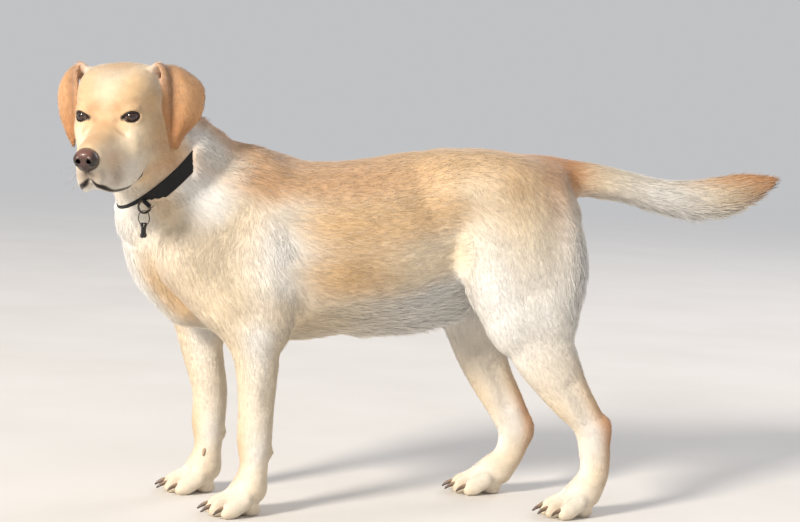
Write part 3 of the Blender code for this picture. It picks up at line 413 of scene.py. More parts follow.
EYE_BALL = 0.0112
EYE_YAW = math.radians(24.0)
EYE_SLANT = math.radians(4.0)
LID_THICK = 0.0031
ALMOND_HALF = (0.0113, 0.0069)    # half width and half height of the eye's opening


def eye_place(s):
    """Middle of an eye, the way it looks, and the axes of its opening: outward and up."""
    gaze = HEAD[0] * math.cos(EYE_YAW) + s * HEAD[1] * math.sin(EYE_YAW)
    outward = s * HEAD[1] * math.cos(EYE_YAW) - HEAD[0] * math.sin(EYE_YAW)
    along = outward * math.cos(EYE_SLANT) + HEAD[2] * math.sin(EYE_SLANT)
    high = HEAD[2] * math.cos(EYE_SLANT) - outward * math.sin(EYE_SLANT)
    return on_head(EYE_AT[0], s * EYE_AT[1], EYE_AT[2]), gaze, along, high


def almond(points, s):
    """Distance from the rim of an eye's opening, seen along the gaze, and how far ahead of the eye."""
    at, gaze, along, high = eye_place(s)
    w, h = ALMOND_HALF
    bend = (w * w + h * h) / (2 * h)
    q = points - at.astype(np.float32)
    x = q @ along.astype(np.float32)
    y = q @ high.astype(np.float32)
    pointed = np.hypot(x, np.abs(y) + bend - h) - bend
    k = np.maximum(np.hypot(x / w, y / h), 1e-3)
    rounded = (k - 1) * k / np.maximum(np.hypot(x / w ** 2, y / h ** 2), 1e-3)
    return np.where(x < 0, pointed, rounded), q @ gaze.astype(np.float32)


# Where the lips part, from the front back to the corner of the mouth, and the cleft above it.
LIP_LINE = [(0.1510, 0.0010, -0.0635), (0.1495, 0.0060, -0.0675), (0.1470, 0.0115, -0.0708),
            (0.1415, 0.0175, -0.0745), (0.1340, 0.0215, -0.0792), (0.1260, 0.0240, -0.0826),
            (0.1160, 0.0275, -0.0846), (0.0960, 0.0335, -0.0850), (0.0760, 0.0362, -0.0838),
            (0.0660, 0.0370, -0.0808), (0.0560, 0.0400, -0.0732), (0.0470, 0.0440, -0.0635)]
CLEFT_LINE = [(0.1610, 0, -0.0440), (0.1590, 0, -0.0500), (0.1565, 0, -0.0560), (0.1530, 0, -0.0610),
              (0.1505, 0, -0.0645)]


def add_face(form):
    """Lids round the eyes, the crease below each, the lips and the cleft."""
    for s in (-1, 1):
        at, gaze, along, high = eye_place(s)
        lump(form, at - 0.0008 * gaze, (EYE_BALL + LID_THICK,) * 3, 0.008)
        lump(form, at + 0.0030 * gaze + 0.0112 * high + 0.001 * along, (0.0055, 0.0120, 0.0036),
             0.008, np.array([gaze, along, high]))
        reach = EYE_BALL + 0.014
        part, pts = form.block(at - reach, at + reach)
        if pts.size:
            rim, ahead = almond(pts, s)
            blend_in(form, part, np.maximum(rim, 0.0030 - ahead), 0.0012, sign=-1)
        crease = [(0.0870, s * 0.0175, 0.0105, 0.0006, 0.0010),
                  (0.0850, s * 0.0235, 0.0020, 0.0012, 0.0018),
                  (0.0810, s * 0.0310, -0.0060, 0.0006, 0.0010)]
        muscle(form, head_rows(crease), 0.007, side=HEAD[1], sign=-1)
        lip = [(f, s * w, u, CREASE, CREASE) for f, w, u in LIP_LINE]
        muscle(form, head_rows(lip), 0.0030, side=HEAD[1], turns=4, sign=-1)
    cleft = [(f, w, u, 0.0008, 0.0020) for f, w, u in CLEFT_LINE]
    muscle(form, head_rows(cleft), 0.0025, side=HEAD[1], sign=-1)


EAR_ROWS = [                       # front edge, rear edge, half thickness, bow
    ((0.010, 0.038, 0.058), (-0.044, 0.040, 0.028), 0.0110, 0.000),
    ((0.012, 0.050, 0.079), (-0.046, 0.062, 0.046), 0.0110, 0.002),
    ((0.011, 0.059, 0.085), (-0.046, 0.086, 0.056), 0.0085, 0.003),
    ((0.010, 0.064, 0.073), (-0.047, 0.106, 0.050), 0.0070, 0.004),
    ((0.010, 0.065, 0.051), (-0.045, 0.115, 0.033), 0.0058, 0.006),
    ((0.011, 0.066, 0.022), (-0.035, 0.110, 0.005), 0.0052, 0.007),
    ((0.011, 0.068, 0.000), (-0.021, 0.099, -0.011), 0.0046, 0.006),
    ((0.010, 0.071, -0.019), (-0.006, 0.087, -0.025), 0.0040, 0.004),
    ((0.006, 0.075, -0.034), (0.001, 0.080, -0.035), 0.0025, 0.001)]
EAR_SPREAD = {1: 0.965, -1: 1.040}      # the right ear is carried wider
EAR_EDGE = 0.0019
EAR_DENT = 0.0075                       # the hollow that runs down behind the front edge
EAR_FINE = 9                            # steps between two rows
EAR_ACROSS = np.linspace(-0.95, 0.95, 45)


def ear_sheet(s):
    """Points all over the middle of an ear's leather, and half its thickness at each."""
    run = between([(*a, *b, thick, bow) for a, b, thick, bow in EAR_ROWS], EAR_FINE)
    wide = s * EAR_SPREAD[s]
    front = np.array([on_head(f, wide * w, u) for f, w, u in run[:, 0:3]])
    rear = np.array([on_head(f, wide * w, u) for f, w, u in run[:, 3:6]])
    middle = 0.5 * (front + rear)
    along = np.gradient(middle, axis=0)
    face = np.cross(front - rear, along) * s
    face = face / np.linalg.norm(face, axis=1)[:, None]
    a = EAR_ACROSS[None, :, None]
    down = np.linspace(0, 1, len(run))[:, None, None]
    dent = EAR_DENT * np.exp(-((a - 0.50) / 0.27) ** 2)
    dent = dent * ramp(down, 0.10, 0.30) * (1 - ramp(down, 0.75, 1.0))
    points = (middle[:, None] + 0.5 * (front - rear)[:, None] * a
              + face[:, None] * (run[:, None, 7:8] * (1 - a * a) - dent))
    half = np.maximum(0.62 * run[:, 6:7] * np.sqrt(1 - EAR_ACROSS ** 2)[None], 0) + EAR_EDGE
    return points.reshape(-1, 3), half.ravel()


def ear_tree(s):
    """The points of an ear's leather, half its thickness at each, and a tree to find them by."""
    points, half = ear_sheet(s)
    tree = KDTree(len(points))
    for i, p in enumerate(points):
        tree.insert(p, i)
    tree.balance()
    return points, half, tree


EAR_ROOM = 0.014                  # how far round an ear its distance is measured
EAR_BLEND = 0.009


def add_ears(form):
    """The leather of both ears, flowing into the skull at the root."""
    for s in (-1, 1):
        points, half, tree = ear_tree(s)
        part, pts = form.block(points.min(0) - EAR_ROOM, points.max(0) + EAR_ROOM)
        if pts.size == 0:
            continue
        dist = np.empty(pts.shape[:-1], np.float32).ravel()
        for i, p in enumerate(pts.reshape(-1, 3)):
            _, k, d = tree.find(p)
            dist[i] = d - half[k]
        blend_in(form, part, dist.reshape(pts.shape[:-1]), EAR_BLEND)


def add_flesh(form, ears=False):
    """Everything from nose to tail; the ears only where they are asked for."""
    add_trunk(form)
    muscle(form, NECK, BACK_BLEND, turns=9)
    for s, reach, lean in ((-1, 0.0, 0.0), (1, 0.040, 0.016)):
        add_shoulder(form, s, reach)
        add_foreleg(form, s, reach * 1.125, lean)
        add_thigh(form, s, reach * 0.625)
    add_hindleg(form, NEAR_HIND, (0.232, -0.098, 0.290), (0.392, -0.096, 0.146))
    add_hindleg(form, FAR_HIND, (0.205, 0.094, 0.290), (0.320, 0.084, 0.112))
    for at, yaw, wide in PAWS.values():
        add_paw(form, at, yaw, wide)
    muscle(form, TAIL, BACK_BLEND)
    add_head(form)
    if ears:
        add_ears(form)
    add_face(form)


def ramp(x, low, high):
    """0 below low, 1 above high, and smooth between."""
    t = np.clip((x - low) / (high - low), 0.0, 1.0)
    return t * t * (3 - 2 * t)


def coat_depth(p):
    """How deep the coat is over the skin: thin on head and feet, deep on the body, less on the tail."""
    to_head = np.sqrt(((p - on_head(0.040, 0, 0.0).astype(np.float32)) ** 2).sum(-1))
    deep = 0.0020 + 0.0022 * ramp(p[..., 2], 0.16, 0.34)
    deep = deep - 0.0008 * (1 - ramp(p[..., 2], 0.06, 0.12))
    deep = deep - 0.0014 * ramp(p[..., 0], 0.36, 0.44)
    return 0.0012 + (deep - 0.0012) * ramp(to_head, 0.115, 0.180)


def surface(form):
    """Points and four-sided faces where the form's distance is zero."""
    val = form.value
    inside = val < 0
    n = np.array(val.shape)
    total = np.zeros((*(n - 1), 3), np.float32)
    hits = np.zeros(n - 1, np.float32)
    corners = [(i, j, k) for i in (0, 1) for j in (0, 1) for k in (0, 1)]

    def at_corner(arr, c):
        return arr[c[0]:n[0] - 1 + c[0], c[1]:n[1] - 1 + c[1], c[2]:n[2] - 1 + c[2]]

    for a in corners:
        for axis in range(3):
            if a[axis]:
                continue
            b = tuple(1 if i == axis else a[i] for i in range(3))
            va, vb = at_corner(val, a), at_corner(val, b)
            cross = at_corner(inside, a) != at_corner(inside, b)
            t = np.where(cross, va / np.where(cross, va - vb, 1.0), 0.0)
            for i in range(3):
                total[..., i] += np.where(cross, a[i] + (t if i == axis else 0.0), 0.0)
            hits += cross
    used = hits > 0
    index = np.full(used.shape, -1)
    index[used] = np.arange(used.sum())
    points = form.low + form.step * (np.argwhere(used) + total[used] / hits[used][:, None])
    faces = []
    for axis in range(3):
        u, v = (axis + 1) % 3, (axis + 2) % 3
        low = [slice(1, -1)] * 3
        low[axis] = slice(0, -1)
        high = [slice(1, -1)] * 3
        high[axis] = slice(1, None)
        change = inside[tuple(low)] != inside[tuple(high)]
        where = np.argwhere(change)
        where[:, u] += 1
        where[:, v] += 1
        quad = []
        for du, dv in ((-1, -1), (0, -1), (0, 0), (-1, 0)):
            cell = where.copy()
            cell[:, u] += du
            cell[:, v] += dv
            quad.append(index[cell[:, 0], cell[:, 1], cell[:, 2]])
        quad = np.stack(quad, 1)
        out = inside[tuple(low)][change]
        quad[~out] = quad[~out][:, ::-1]
        faces.append(quad)
    return points, np.vstack(faces)


def add_object(name, data):
    """An object of the scene that holds the given mesh or curve."""
    made = bpy.data.objects.new(name, data)
    bpy.context.scene.collection.objects.link(made)
    return made


def mesh_of(name, points, faces):
    """A mesh from arrays: points, and faces that all have the same number of corners."""
    mesh = bpy.data.meshes.new(name)
    mesh.vertices.add(len(points))
    mesh.vertices.foreach_set("co", np.asarray(points, np.float32).ravel())
    mesh.loops.add(faces.size)
    mesh.loops.foreach_set("vertex_index", np.asarray(faces, np.int32).ravel())
    mesh.polygons.add(len(faces))
    mesh.polygons.foreach_set("loop_start", np.arange(0, faces.size, faces.shape[1], dtype=np.int32))
    mesh.update(calc_edges=True)
    return mesh


def flesh_mesh(name, low, high, step, planes, ears=False):
    """The skin's surface in one region, cut off clean at planes of (point, way out)."""
    form = Lattice(low, high, step)
    add_flesh(form, ears)
    _, grid = form.block(form.low, form.low + form.step * form.count)
    form.value += coat_depth(grid)
    mesh = bmesh.new()
    mesh.from_mesh(mesh_of(name, *surface(form)))
    for at, out in planes:
        geom = mesh.verts[:] + mesh.edges[:] + mesh.faces[:]
        bmesh.ops.bisect_plane(mesh, geom=geom, dist=step * 0.02, plane_co=at, plane_no=out,
                               clear_outer=True)
    return mesh


BODY_STEP = 0.0062                # how finely each region of the skin is measured
HEAD_STEP = 0.0020
PAW_STEP = 0.0030
ANKLE = FLOOR + 0.072             # height at which the paws are parted off
SEAM_HALF = 0.002
down = Vector((0, 0, -1))
collar_way = Vector(COLLAR_UP)
DEEP_NECK = Vector(COLLAR_AT)

body = flesh_mesh("body", (-0.40, -0.15, ANKLE - 0.02), (0.72, 0.15, 0.64), BODY_STEP,
                  [(DEEP_NECK - collar_way * SEAM_HALF, collar_way),
                   (Vector((0, 0, ANKLE + SEAM_HALF)), down)])
head = flesh_mesh("head", (-0.480, -0.285, 0.435), (-0.215, 0.060, 0.705), HEAD_STEP,
                  [(DEEP_NECK + collar_way * SEAM_HALF, -collar_way)], ears=True)
pieces = [body, head]
for (x, y), _, _ in PAWS.values():
    paw = flesh_mesh("paw", (x - 0.085, y - 0.060, -0.006), (x + 0.085, y + 0.060, ANKLE + 0.01),
                     PAW_STEP, [(Vector((0, 0, ANKLE - SEAM_HALF)), -down), (Vector((0, 0, FLOOR)), down)])
    pieces.append(paw)

skin_mesh = bmesh.new()
for piece in pieces:
    part_mesh = bpy.data.meshes.new("part")
    piece.to_mesh(part_mesh)
    piece.free()
    skin_mesh.from_mesh(part_mesh)


def open_edges(near):
    """Edges of the skin's openings whose two ends both lie near a place."""
    return [e for e in skin_mesh.edges if e.is_boundary and all(near(v.co) for v in e.verts)]


def bridge(near):
    """Close the narrow gap between two regions of skin with one strip of faces."""
    bmesh.ops.bridge_loops(skin_mesh, edges=open_edges(near))


bridge(lambda co: abs((co - DEEP_NECK) @ collar_way) < SEAM_HALF * 1.5)
for (x, y), _, _ in PAWS.values():
    middle = Vector((x + 0.013, y, ANKLE))
    bridge(lambda co: abs(co.z - ANKLE) < SEAM_HALF * 1.5 and (co - middle).length < 0.06)
bmesh.ops.holes_fill(skin_mesh, edges=open_edges(lambda co: True), sides=0)
bmesh.ops.triangulate(skin_mesh, faces=skin_mesh.faces)
bmesh.ops.recalc_face_normals(skin_mesh, faces=skin_mesh.faces)

low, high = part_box("eye_left")
HOME = np.array((low + high) / 2) - on_head(*EYE_AT)      # from where the form is measured to the frame
skin = add_object("skin", bpy.data.meshes.new("skin"))
skin_mesh.to_mesh(skin.data)
skin_mesh.free()
skin.data.transform(Matrix.Translation(HOME))
skin.data.shade_smooth()
FLESH = ["head", "neck", "trunk", "tail", "ear_left", "ear_right"]
FLESH += [part + "_" + side for part in ("foreleg", "hindleg") for side in ("left", "right")]
FLESH += ["paw_" + name for name in PAWS]
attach(skin, "root")
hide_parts(*FLESH)


# ---- The lie of the coat: a short double coat that runs from nose to tail and down the legs.
# Each guide is a line over the body, with the length of the hair in mm and its shade there.
# It is longest on the sides of the neck, the belly, the backs of the thighs and under the tail.
def paint(shade):
    """A hex colour as linear light."""
    out = []
    for i in (1, 3, 5):
        v = int(shade[i:i + 2], 16) / 255
        out.append(v / 12.92 if v <= 0.04045 else ((v + 0.055) / 1.055) ** 2.4)
    return np.array(out)


SHADES = {"white": "#f5f2ec", "pale": "#f2e8d8", "cream": "#ebd8ba", "straw": "#dfbd92",
          "tan": "#cfa379", "sand": "#dbb288", "fox": "#cd925f", "umber_shade": "#6a432c",
          "amber": "#ebb47f", "smoke_shade": "#8b7765", "lip": "#2c211d"}
LIP_DARK = SHADES["lip"]
LID_DARK = "#1d1512"


def on_rod(rows, t, turn):
    """A place on a rod: t rows along it, turned from its top or rear, towards the right."""
    i = min(int(t), len(rows) - 2)
    a, b = np.array(rows[i], float), np.array(rows[i + 1], float)
    row = a + (b - a) * (t - i)
    along = (b - a)[:3] / np.linalg.norm((b - a)[:3])
    across = np.array((0, 1.0, 0)) - along * along[1]
    across = across / np.linalg.norm(across)
    turn = math.radians(turn)
    return (row[:3] + across * row[3] * math.sin(turn)
            + np.cross(along, across) * row[4] * math.cos(turn))


ROD_LIE = [
    (RIBS, [(0.7, 0, 19, "tan"), (2.5, 0, 18, "sand"), (5, 0, 16, "sand"), (7, 0, 16, "straw"),
            (9, 0, 17, "tan")]),
    (RIBS, [(1.0, 32, 19, "tan"), (3, 38, 17, "sand"), (5, 38, 15, "sand"), (7, 40, 15, "straw"),
            (9, 45, 16, "straw")]),
    (RIBS, [(2.4, 66, 18, "pale"), (3.4, 70, 16, "straw"), (5, 73, 16, "straw"), (6.4, 72, 16, "straw"),
            (8, 76, 16, "cream")]),
    (RIBS, [(2.6, 100, 18, "pale"), (3.4, 103, 17, "straw"), (4.4, 105, 17, "straw"),
            (5.4, 107, 18, "cream"), (6.6, 104, 20, "cream")]),
    (RIBS, [(2.2, 140, 20, "cream"), (3.4, 140, 22, "cream"), (4.4, 142, 26, "pale"),
            (5.4, 142, 32, "white"), (6.8, 136, 30, "white")]),
    (RIBS, [(0.5, 180, 24, "pale"), (2.5, 180, 24, "cream"), (4, 180, 26, "pale"),
            (5.5, 180, 32, "white"), (7, 180, 26, "white")]),
    (NECK, [(3.7, 180, 16, "straw"), (3, 180, 20, "tan"), (2, 180, 22, "tan"), (0.6, 180, 21, "tan")]),
    (NECK, [(4.0, 132, 14, "cream"), (3.2, 130, 22, "white"), (2.2, 130, 24, "pale"),
            (1.2, 128, 22, "tan"), (0.3, 120, 19, "tan")]),
    (NECK, [(4.0, 92, 14, "tan"), (3.3, 89, 17, "tan"), (2.7, 87, 20, "white"), (2.1, 86, 21, "white"),
            (1.5, 86, 20, "white"), (0.9, 90, 17, "cream")]),
    (NECK, [(4.0, 50, 13, "straw"), (3.0, 47, 16, "straw"), (2.0, 45, 18, "cream"),
            (1.2, 45, 17, "cream")]),
    (NECK, [(4.0, 0, 14, "pale"), (3.0, 0, 15, "pale"), (2.2, 0, 16, "white")]),
    (BREAST, [(0.0, 180, 16, "white"), (1, 180, 18, "white"), (2, 180, 20, "white"),
              (3, 180, 21, "pale")]),
    (BREAST, [(0.2, 118, 16, "white"), (1, 116, 16, "pale"), (2, 112, 17, "straw"),
              (3, 110, 17, "straw")]),
    (TAIL, [(0.1, 0, 17, "tan"), (0.7, 0, 14, "fox"), (1.3, 0, 14, "fox"), (2.0, 0, 14, "cream"),
            (4, 0, 15, "pale"), (6, 0, 17, "sand"), (7, 0, 17, "fox"), (8, 0, 16, "fox")]),
    (TAIL, [(0.3, 90, 15, "tan"), (0.8, 90, 13, "fox"), (1.3, 90, 13, "fox"), (2.0, 90, 15, "cream"),
            (4, 90, 18, "white"), (6, 90, 19, "cream"), (7, 90, 18, "sand"), (8, 90, 17, "fox")]),
    (TAIL, [(0.6, 180, 18, "tan"), (1.1, 180, 20, "fox"), (1.8, 180, 24, "pale"), (4, 180, 30, "white"),
            (6, 180, 32, "pale"), (8, 180, 22, "tan")])]
SIDE_LIE = [
    [(-0.185, 0.104, 0.465, 18, "cream"), (-0.232, 0.118, 0.410, 17, "cream"),
     (-0.235, 0.124, 0.360, 15, "cream"), (-0.205, 0.130, 0.320, 14, "cream")],
    [(-0.150, 0.110, 0.490, 20, "cream"), (-0.128, 0.122, 0.430, 23, "white"),
     (-0.118, 0.127, 0.370, 22, "white"), (-0.116, 0.122, 0.325, 20, "cream")],
    [(0.165, 0.105, 0.500, 15, "cream"), (0.183, 0.118, 0.430, 14, "pale"),
     (0.198, 0.128, 0.360, 13, "white"), (0.222, 0.126, 0.300, 12, "white")],
    [(0.235, 0.085, 0.520, 16, "straw"), (0.250, 0.105, 0.460, 15, "cream"),
     (0.262, 0.116, 0.390, 14, "pale"), (0.272, 0.122, 0.320, 13, "white")],
    [(0.312, 0.042, 0.535, 18, "tan"), (0.335, 0.052, 0.480, 24, "pale"),
     (0.345, 0.066, 0.420, 28, "white"), (0.340, 0.078, 0.355, 28, "white"),
     (0.322, 0.090, 0.300, 24, "pale")],
    [(0.200, 0.045, 0.400, 20, "white"), (0.225, 0.058, 0.345, 16, "white"),
     (0.250, 0.070, 0.290, 12, "pale")]]
HEAD_LIE = [
    [(0.148, 0, -0.008, 3.0, "straw"), (0.110, 0, 0.003, 3.3, "straw"), (0.082, 0, 0.016, 4, "straw"),
     (0.060, 0, 0.050, 5.5, "cream"), (0.020, 0, 0.082, 8, "straw"), (-0.030, 0, 0.086, 11, "straw"),
     (-0.075, 0, 0.050, 14, "straw")],
    [(0.088, 0.016, 0.010, 3.5, "straw"), (0.078, 0.032, 0.040, 4, "straw"),
     (0.050, 0.042, 0.066, 6, "straw"), (0.005, 0.044, 0.084, 9, "cream"),
     (-0.040, 0.040, 0.072, 12, "cream")],
    [(0.060, 0.056, 0.022, 4.5, "straw"), (0.028, 0.062, 0.042, 7, "straw"),
     (-0.006, 0.056, 0.064, 10, "white")],
    [(0.145, 0.014, -0.030, 3, "cream"), (0.105, 0.030, -0.028, 3.2, "cream"),
     (0.075, 0.042, -0.012, 4, "cream"), (0.045, 0.057, -0.010, 6, "straw"),
     (0.005, 0.066, -0.008, 9, "straw"), (-0.035, 0.062, -0.018, 13, "straw")],
    [(0.150, 0.014, -0.055, 3, "pale"), (0.115, 0.030, -0.060, 3.5, "pale"),
     (0.080, 0.042, -0.060, 4.5, "pale"), (0.040, 0.056, -0.050, 7, "cream"),
     (0.000, 0.066, -0.045, 10, "straw"), (-0.040, 0.060, -0.055, 15, "tan")],
    [(0.128, 0.006, -0.080, 4, "white"), (0.085, 0.018, -0.096, 6, "white"),
     (0.040, 0.024, -0.103, 9, "pale"), (-0.010, 0.030, -0.100, 13, "pale"),
     (-0.040, 0.030, -0.100, 15, "cream")]]
SHANK_LIE = [(0.0, 0, 25, "white"), (1.2, 0, 17, "pale"), (2.4, 0, 10, "straw"), (3.4, 0, 8, "fox"),
             (4.4, 0, 7, "sand"), (6, 0, 6, "cream")]
LEG_SIDE_LIE = [(0.1, 90, 13, "white"), (1.2, 90, 10, "pale"), (2.4, 90, 8, "pale"), (3.6, 90, 7, "white"),
                (5, 90, 6, "cream")]
SHIN_LIE = [(0.1, 180, 13, "white"), (1.2, 180, 10, "pale"), (2.4, 180, 8, "cream"),
            (3.6, 180, 7, "pale"), (5, 180, 6, "white")]
ELBOW_LIE = [(0.1, 0, 18, "cream"), (1, 0, 14, "cream"), (2, 0, 11, "cream"), (3.4, 0, 8, "cream"),
             (5, 0, 6, "cream")]
FOREARM_LIE = [(0.1, 180, 13, "cream"), (1.2, 180, 9, "cream"), (2.4, 180, 7, "cream"),
               (3.4, 180, 6, "straw"), (5, 180, 6, "cream")]
PAW_LIE = [(-0.020, 0, 0.066, 6, "cream"), (0.004, 0, 0.052, 5, "pale"), (0.030, 0, 0.032, 4.5, "pale"),
           (0.044, 0, 0.012, 4, "cream")]
# Shades across each ear, from rear to front: the umber strip is painted shade in the hollow behind the
# front edge, over the leather's own darker tone.
EAR_LIE = {-0.8: "amber", -0.2: "amber", 0.2: "amber", 0.5: "umber_shade", 0.85: "fox"}
TRIM = 0.84                       # the coat lies closer than its full length


def guide(places, rows):
    """One line of the coat's lie as even rows: place, hair length, colour and way."""
    rows = [(*p, r[-2] * TRIM, *paint(SHADES[r[-1]])) for p, r in zip(places, rows)]
    run = between(rows, 5)
    way = np.gradient(run[:, :3], axis=0)
    return np.hstack([run, way / np.linalg.norm(way, axis=1)[:, None]])


def both_sides(rows):
    """Rows as they are, and mirrored to the other side."""
    return [[(r[0], s * r[1], *r[2:]) for r in rows] for s in (-1, 1)]


def body_guides():
    """Every line of the coat's lie over body, legs, head and paws."""
    out = []
    legs = [(foreleg_rows(s, reach, lean), (ELBOW_LIE, LEG_SIDE_LIE, FOREARM_LIE))
            for s, reach, lean in ((-1, 0.0, 0.0), (1, 0.045, 0.016))]
    legs += [(rows, (SHANK_LIE, LEG_SIDE_LIE, SHIN_LIE)) for rows in (NEAR_HIND, FAR_HIND)]
    lines = ROD_LIE + [(rows, line) for rows, runs in legs for line in runs]
    for rows, line in lines:
        for side in (-1, 1):
            out.append(guide([on_rod(rows, r[0], side * r[1]) for r in line], line))
    for line in SIDE_LIE:
        for rows in both_sides(line):
            out.append(guide([r[:3] for r in rows], rows))
    for line in HEAD_LIE:
        for rows in both_sides(line):
            out.append(guide([on_head(*r[:3]) for r in rows], rows))
    for (x, y), yaw, wide in PAWS.values():
        axes = paw_axes(yaw)
        for s in (-0.030, 0, 0.030):
            places = [np.array((x, y, FLOOR + r[2])) + r[0] * axes[0] + s * wide * axes[1]
                      for r in PAW_LIE]
            out.append(guide(places, PAW_LIE))
    return np.vstack(out)


def ear_guides():
    """The lines down each ear, with a shade for each place across it, from rear to front."""
    out = []
    for s in (-1, 1):
        for across, shade in EAR_LIE.items():
            rows, places = [], []
            for i, (front, rear, _, _) in enumerate(EAR_ROWS):
                a, b = np.array(front), np.array(rear)
                at = 0.5 * (a + b) + 0.5 * (a - b) * across
                places.append(on_head(at[0], s * EAR_SPREAD[s] * at[1], at[2]))
                # Below the middle the amber lines turn fox, darker towards the tip: partly the ear's own
                # tone, partly painted shade.
                tone = ("white", "pale")[i] if i < 2 else "fox" if i > 5 and shade == "amber" else shade
                rows.append((16 - 9 * min(i / 4, 1), tone))
            out.append(guide(places, rows))
    return np.vstack(out)


SPREAD = 0.012                 # how far one guide's say reaches before its neighbours' takes over
REACHED_AT_ONCE = 20000


def unit(rows):
    """Rows of ways, each brought to a length of one."""
    return rows / np.maximum(np.linalg.norm(rows, axis=1), 1e-9)[:, None]


def follow(points, guides):
    """Hair length, colour and way of the guides near each point."""
    out = []
    for i in range(0, len(points), REACHED_AT_ONCE):
        some = points[i:i + REACHED_AT_ONCE]
        apart = ((some ** 2).sum(1)[:, None] + (guides[:, :3] ** 2).sum(1)[None]
                 - 2 * some @ guides[:, :3].T)
        say = 1.0 / (np.maximum(apart, 0) + SPREAD ** 2) ** 2
        out.append(say @ guides[:, 3:] / say.sum(1)[:, None])
    return np.vstack(out)


def drift(points, size, seed):
    """Smooth noise between about -1 and 1 that wanders over the given size."""
    draw = np.random.default_rng(seed)
    total = np.zeros(len(points))
    for _ in range(14):
        way = draw.normal(size=3)
        way = way / np.linalg.norm(way) * 2 * math.pi / (size * draw.uniform(1.0, 2.4))
        total += np.cos(points @ way + draw.uniform(0, 2 * math.pi))
    return total / 4.0


def toward(colour, share, shade):
    """Colours taken part of the way to a shade."""
    return colour + (paint(shade) - colour) * share[:, None]


def line_reach(points, rows):
    """How far points are from a line on both sides of the head."""
    best = np.full(len(points), 1.0)
    for s in (-1, 1):
        run = between([on_head(f, s * w, u) for f, w, u in rows], 8)
        for a, b in zip(run[:-1], run[1:]):
            t = np.clip((points - a) @ (b - a) / ((b - a) @ (b - a)), 0, 1)
            best = np.minimum(best, np.linalg.norm(points - a - t[:, None] * (b - a), axis=1))
    return best


NOSE_AT = (0.1590, 0.0, -0.0315)
NOSE_HALF = (0.0140, 0.0180, 0.0155)
# Several patches are painted shade, in whole or part: the tan in the stop between the eyes and on the side
# of the muzzle; the smoke under the nose and near the lips, over dark skin and stubble; the umber at the
# inner corner of each eye; and the lip patches under the nose and at the front of the mouth, over the
# lips' black skin.
HEAD_MARKS = [                    # place, reach, shade and strength of softer patches
    ((0.078, 0.020, 0.030), 0.013, "tan", 0.55), ((0.072, 0.046, 0.036), 0.010, "tan", 0.45),
    ((0.088, 0.000, 0.012), 0.014, "tan", 0.40), ((0.040, 0.000, 0.074), 0.022, "pale", 0.30),
    ((0.072, 0.034, -0.006), 0.010, "pale", 0.35), ((0.130, 0.000, -0.004), 0.016, "tan", 0.45),
    ((0.100, 0.000, 0.004), 0.018, "tan", 0.30), ((0.015, 0.062, -0.010), 0.026, "tan", 0.45),
    ((0.125, 0.026, -0.040), 0.024, "tan", 0.50), ((0.120, 0.030, -0.062), 0.016, "smoke_shade", 0.60),
    ((0.148, 0.014, -0.056), 0.010, "smoke_shade", 0.55), ((0.020, 0.060, -0.060), 0.030, "tan", 0.35),
    ((0.022, 0.000, 0.084), 0.018, "tan", 0.40), ((0.084, 0.018, 0.026), 0.0045, "umber_shade", 0.30),
    ((0.081, 0.017, 0.014), 0.006, "umber_shade", 0.45), ((0.157, 0.004, -0.0560), 0.0110, "smoke_shade", 0.90),
    ((0.159, 0.000, -0.050), 0.0055, "lip", 0.80), ((0.148, 0.008, -0.0685), 0.0055, "lip", 0.80)]
FUR_BARE = 0.0005                 # skin this near a lid's rim bears no hair
NEAR_EYE = 0.03
CORNER_IN = 0.0125                # the near black inner corner of an eye, dark skin with painted shade in its recess: how far in and ahead of its middle
CORNER_AHEAD = 0.0065
BAND_HALF = 0.012                 # the collar's half width
STRAP_HIGH = 0.0058               # its outer face over the skin
NAPE_WAY = np.array((0.66, 0.10, 0.74))       # ways out from the middle of the neck
THROAT_WAY = np.array((-0.66, 0.25, -0.70))
NAPE_COVER = 0.043                # how much higher the coat hides the strap at nape and throat
THROAT_COVER = 0.025
SIDE_COVER = -0.016               # at the sides its hiding edge is below the strap, which shows whole
NEAR_COLLAR = 0.13
CLEAR_OF_EAR = 0.004


def strap_cover(points, off_ear):
    """Height over the collar's middle line, nearness to it, and how high the coat hides the strap."""
    high = (points - COLLAR_AT) @ COLLAR_UP
    near = (np.linalg.norm(points - COLLAR_AT, axis=1) < NEAR_COLLAR) & (off_ear > CLEAR_OF_EAR)
    way = unit(points - COLLAR_AT - high[:, None] * COLLAR_UP)
    nape = ramp(way @ NAPE_WAY, -0.15, 0.62)
    throat = ramp(way @ THROAT_WAY, 0.05, 0.72)
    return high, near, NAPE_COVER * nape + THROAT_COVER * throat + SIDE_COVER


